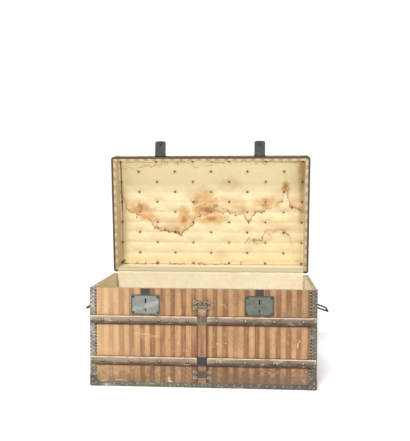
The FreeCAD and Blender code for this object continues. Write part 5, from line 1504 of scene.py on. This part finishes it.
class TRUNK_OT_edging(bpy.types.Operator):
    """Pressed tin on the edges with its small pins, and the beaded caps on the lower corners"""
    bl_idname = "trunk.edging"
    bl_label = "Edging and caps"

    def corner_tin(self):
        """On each upright corner, a strip along a straight, an arc and a straight in plan. Its
        outer face, 1 mm off the canvas, is pressed in by 0.55 mm times net()."""
        leg = np.linspace(30, 12.5, 10)[:-1] * MM
        a = np.linspace(0, math.pi / 2, 9)
        r = CORNER + TIN
        x = np.concatenate([HALF_X + TIN - leg, FLAT_X + r * np.sin(a), 0 * leg + HALF_X + TIN])
        y = np.concatenate([0 * leg + HALF_Y + TIN, FLAT_Y + r * np.cos(a),
                            HALF_Y + TIN - leg[::-1]])
        turn = np.concatenate([0 * leg, a, 0 * leg + math.pi / 2])
        x, y, out_x, out_y = (line[:, None] for line in (x, y, np.sin(turn), np.cos(turn)))
        z = np.linspace(27.4, 396, 185) * MM
        parts = []
        for sx, sy in EACH_CORNER:
            press = (0.55 * MM * net(np.where(out_x > 0.5, sy * y, sx * x), z)
                     * (np.maximum(out_x, out_y) > 0.999) * np.clip((RIM - z) / (3 * MM), 0, 1))
            parts.append(skin(*[stacked(sx * (x - out_x * deep), sy * (y - out_y * deep), z)
                                for deep in (press, 0.98 * MM)]))
        piece("corner_tin", gathered(parts), pressed_tin(), "body", ["corner_edging"],
              "edging_iron")

    def pins(self):
        """Pins up the inner lines of the corner tin, without those that a slat covers, and
        along the foot."""
        zs = np.arange(54 * MM, 392 * MM, sizes().pin_pitch)
        free = zs[np.all([(zs <= low - PIN_GAP) | (zs >= low + SLAT_HEIGHT + PIN_GAP)
                          for low in SLAT_ROWS], axis=0)]
        seats = []
        for sx, sy in EACH_CORNER:
            seats += [on_long(sy, sx * (HALF_X - TIN_LINE), free, PIN_SEAT),
                      on_end(sx, sy * (HALF_Y - TIN_LINE), zs, PIN_SEAT)]
        for side in (-1, 1):
            seats += [on_long(side, np.arange(-384, 385, 32) * MM, FOOT_LINE, PIN_SEAT),
                      on_end(side, np.arange(-192, 193, 32) * MM, FOOT_LINE, PIN_SEAT)]
        piece("edging_pins", domes(seats, 3.1 * MM, 1.6 * MM, 2, 10, 0.2), iron("nail iron"),
              "body", slot="nail_iron")

    def lid_pins(self):
        """Pins along the inner lines of the lid's edging and along its rim binding."""
        inset, half = HALF_X - LID_LINE, ROOF_SLAT_PITCH / 2
        zs, ys = np.arange(418, 484, 12.5) * MM, np.arange(-236, 237, 12.5) * MM
        free = ys[np.abs((np.abs(ys) + half) % ROOF_SLAT_PITCH - half) > 19 * MM]
        lean = free / ROOF_RADIUS
        seats = []
        for sx in (-1, 1):
            seats += [on_end(sx, ys, roof(ys) - 20 * MM, PIN_SEAT),
                      (stacked(sx * inset, free, roof(free) + PIN_SEAT),
                       stacked(0, lean, np.sqrt(1 - lean ** 2))),
                      on_long(-1, sx * inset, zs, PIN_SEAT), on_long(1, sx * inset, zs, PIN_SEAT)]
        xs = np.arange(-429, 430, 33) * MM
        for sy, middles, reach in ((-1, LOCKS, 27), (1, (-290 * MM, 0, 290 * MM), 26)):
            far = np.min([np.abs(xs - middle) for middle in middles], 0)
            seats.append(on_long(sy, xs[far > reach * MM], BINDING_LINE, PIN_SEAT))
        ys = np.arange(-231, 232, 33) * MM
        seats += [on_end(sx, ys, BINDING_LINE, PIN_SEAT) for sx in (-1, 1)]
        piece("lid_pins", domes(seats, 3 * MM, 1.5 * MM, 2, 10, 0.2, 5, lid=True),
              iron("nail iron"), "lid", slot="nail_iron")

    def cap_beads(self):
        """A bead along the round edge of each cap, where z = sqrt(R^2 - d^2) for the way d from
        the ball's middle to the plan's outline, and three nails on each side of it."""
        grow, ball, middle = 1.6 * MM, 46.6 * MM, np.array([459, 275]) * MM
        far, a = np.linspace(60 * MM, 0, 121), np.linspace(0, math.pi / 2, 13)
        r = CORNER + grow
        line = np.concatenate([
            stacked(FLAT_X - far, HALF_Y + grow),
            stacked(FLAT_X + r * np.sin(a), FLAT_Y + r * np.cos(a)),
            stacked(HALF_X + grow, FLAT_Y - far[::-1])])
        square = ball ** 2 - ((line - middle) ** 2).sum(1)
        keep = square > (3 * MM) ** 2
        rim = np.concatenate([line[keep], np.sqrt(square[keep])[:, None]], 1)
        way = walked(rim)
        even = np.linspace(0, way[-1], 44)
        rim = stacked(*[np.interp(even, way, rim[:, k]) for k in range(3)])
        seats = []
        for sx, sy in EACH_CORNER:
            for inset, z in ((10, 27), (24, 14), (11, 9)):
                seats += [on_long(sy, sx * (HALF_X - inset * MM), z * MM, CAP_SEAT),
                          on_end(sx, sy * (HALF_Y - inset * MM), z * MM, CAP_SEAT)]
        piece("cap_beads", gathered([tube(rim * [sx, sy, 1], sizes().bead)
                                     for sx, sy in EACH_CORNER]),
              iron("cap iron"), "body", slot="cap_iron")
        piece("cap_nails", domes(seats, 3.4 * MM, 1.8 * MM, 3, 12, 0.1, 9), iron("nail iron"),
              "body", slot="nail_iron")

    def execute(self, context):
        finish_nodes(pressed_tin(), "bottom_edging", "lid_edging")
        self.corner_tin()
        finish_nodes(iron("binding iron"), "lid_rim_binding")
        finish_nodes(iron("cap iron"), "bottom_corner_caps")
        self.pins()
        self.lid_pins()
        self.cap_beads()
        return {"FINISHED"}


# ---------------------------------------------------------------- locks, hasps, hinges, handles

class TRUNK_OT_metalwork(bpy.types.Operator):
    """Locks, hasps, hinges and handles"""
    bl_idname = "trunk.metalwork"
    bl_label = "Locks, hasps, hinges, handles"

    def execute(self, context):
        finish_nodes(lock_iron(), "left_lock_plate", "right_lock_plate", bevel=0.5 * MM)
        self.lock_details()
        finish_nodes(iron("tab iron"), "lock_rim_tabs", bevel=0.4 * MM)
        # The lock cases and bolts are dark so that the keyholes and staple slots read black:
        # painted shade inside the locks.
        finish_nodes(iron("tack metal"), "left_lock_case", "right_lock_case")
        finish_nodes(iron("rivet iron"), "left_lock_bolt", "right_lock_bolt")
        finish_nodes(iron("lock steel"), "hinge_pins", "hasp_pins")
        finish_nodes(iron("hasp iron"), "left_hasp", "right_hasp", "hasp_leaves",
                     bevel=0.5 * MM)
        finish_nodes(iron("dark iron"), "hinge_body_leaves", "hinge_lid_leaves",
                     "handle_plates", "left_handle", "right_handle")
        return {"FINISHED"}

    def lock_details(self):
        """On each lock plate: four domed rivets, an oval ring round the keyhole, and a raised
        line along the edge, a rectangle with rounded corners that is left open at the top,
        where the hasp comes down."""
        seats = np.array([(lock + side * 48 * MM, -LOCK_FACE, z * MM) for lock in LOCKS
                          for side in (-1, 1) for z in (300, 361)])
        piece("rivet_heads", domes([(seats, (0, -1, 0))], 4.6 * MM, 2.2 * MM, 4, 14, 0.1, 4),
              iron("rivet iron"), "body", ["lock_rivets"], "rivet_iron")
        line = box_path(54.6 * MM, 37.1 * MM, 4 * MM, 12)
        gap = (np.abs(line[:, 0]) < 27 * MM) & (line[:, 1] > 0)
        line = np.roll(line, -int(np.flatnonzero(gap)[-1]) - 1, 0)[:-int(gap.sum())]
        a = np.linspace(0, 2 * math.pi, 33)
        rims = []
        for lock in LOCKS:
            rims += [tube(stacked(lock + line[:, 0], -LOCK_FACE, LOCK_MIDDLE + line[:, 1]),
                          0.7 * MM, 6),
                     tube(stacked(lock + 5.2 * MM * np.cos(a), -LOCK_FACE,
                                  (309 + 9 * np.sin(a)) * MM), 0.75 * MM, 6)]
        piece("lock_rims", gathered(rims), lock_iron(), "body", slot="lock_plate")


class TRUNK_OT_boards(bpy.types.Operator):
    """Bare wood of the boards, battens and staves"""
    bl_idname = "trunk.boards"
    bl_label = "Boards"

    def execute(self, context):
        finish_nodes(board_wood(), "bottom_board", "front_board", "back_board",
                     "lid_front_board", "lid_back_board", "roof_staves")
        finish_nodes(end_board_wood(), "bottom_battens", "left_board", "right_board",
                     "lid_left_board", "lid_right_board")
        return {"FINISHED"}


# ---------------------------------------------------------------- stage

class TRUNK_OT_stage(bpy.types.Operator):
    """Pale flat floor, soft light and the camera"""
    bl_idname = "trunk.stage"
    bl_label = "Stage"

    def link(self, name, data):
        made = bpy.data.objects.new(name, data)
        bpy.context.scene.collection.objects.link(made)
        return made

    def floor(self):
        """A flat floor, large enough to look endless."""
        side = np.linspace(-60, 60, 5)
        mesh = bpy.data.meshes.new("floor")
        mesh.from_pydata(stacked(*plan(side, side), 0).reshape(-1, 3).tolist(), [],
                         grid_faces(5, 5)[:, ::-1].tolist())
        mesh.materials.append(floor_paint())
        self.link("floor", mesh)

    def lamp(self, name, kind, way, power):
        """Light from a direction."""
        data = bpy.data.lights.new(name, kind)
        data.energy = power
        made = self.link(name, data)
        made.rotation_euler = (math.acos(way[2] / math.hypot(*way)), 0,
                               math.atan2(way[1], way[0]) + math.pi / 2)
        return made

    def camera(self):
        """A camera at p that looks along the forward row of Rx(pitch) Ry(roll) Rz(yaw)."""
        pitch, roll, yaw, focal, wide = 0.066, 0.0009, -0.0838, 763.4, 441
        turn = (Matrix.Rotation(pitch, 3, "X") @ Matrix.Rotation(roll, 3, "Y")
                @ Matrix.Rotation(yaw, 3, "Z"))
        data = bpy.data.cameras.new("camera")
        data.sensor_width = 36
        data.lens = focal * data.sensor_width / wide
        data.shift_x, data.shift_y = 15 / wide, 19.5 / wide
        data.clip_end = 60
        made = self.link("camera", data)
        right, forward, up = turn
        made.matrix_world = (Matrix.Translation((0.2015, -3.2419, 0.7853))
                             @ Matrix((right, up, -forward)).transposed().to_4x4())
        bpy.context.scene.camera = made

    def execute(self, context):
        self.floor()
        self.camera()
        sun = self.lamp("key", "SUN", (-0.2, -0.8, 0.95), 2.3)
        sun.data.angle = math.radians(14)
        fill = self.lamp("fill", "AREA", (2.2, -3.2, 1.1), 16)
        fill.location = (2.2, -3.2, 1.5)
        fill.data.shape, fill.data.size = "SQUARE", 2.4
        world = bpy.data.worlds.new("studio")
        world.use_nodes = True
        w = Wiring(world.node_tree)
        shade = world.node_tree.nodes["Background"]
        w.join(shade.inputs[0], (255, 255, 255))
        w.join(shade.inputs[1], w.add("ShaderNodeMapRange", w.add("ShaderNodeLightPath"),
                                      0, 1, 0.5, 1.05))
        context.scene.world = world
        context.scene.view_settings.view_transform = "Standard"
        return {"FINISHED"}


# ---------------------------------------------------------------- add-on

class TRUNK_PT_panel(bpy.types.Panel):
    bl_idname = "TRUNK_PT_panel"
    bl_label = "Trunk"
    bl_space_type = "VIEW_3D"
    bl_region_type = "UI"
    bl_category = "Trunk"

    def draw(self, context):
        for group in (context.scene.trunk_sizes, context.scene.trunk_colours):
            box = self.layout.box()
            for key in group.__annotations__:
                box.prop(group, key)
        for operator in OPERATORS:
            self.layout.operator(operator.bl_idname)


OPERATORS = (TRUNK_OT_stage, TRUNK_OT_canvas, TRUNK_OT_lid_canvas, TRUNK_OT_lining,
             TRUNK_OT_tape, TRUNK_OT_quilt, TRUNK_OT_hinge_cloth, TRUNK_OT_slats,
             TRUNK_OT_strap, TRUNK_OT_edging, TRUNK_OT_metalwork, TRUNK_OT_boards)
CLASSES = (TrunkSizes, TrunkColours, *OPERATORS, TRUNK_PT_panel)


def register():
    for each in CLASSES:
        bpy.utils.register_class(each)
    bpy.types.Scene.trunk_sizes = bpy.props.PointerProperty(type=TrunkSizes)
    bpy.types.Scene.trunk_colours = bpy.props.PointerProperty(type=TrunkColours)


def unregister():
    del bpy.types.Scene.trunk_sizes, bpy.types.Scene.trunk_colours
    for each in reversed(CLASSES):
        bpy.utils.unregister_class(each)


def main():
    register()
    for operator in OPERATORS:
        getattr(bpy.ops.trunk, operator.bl_idname.split(".")[1])()


if __name__ == "__main__":
    main()
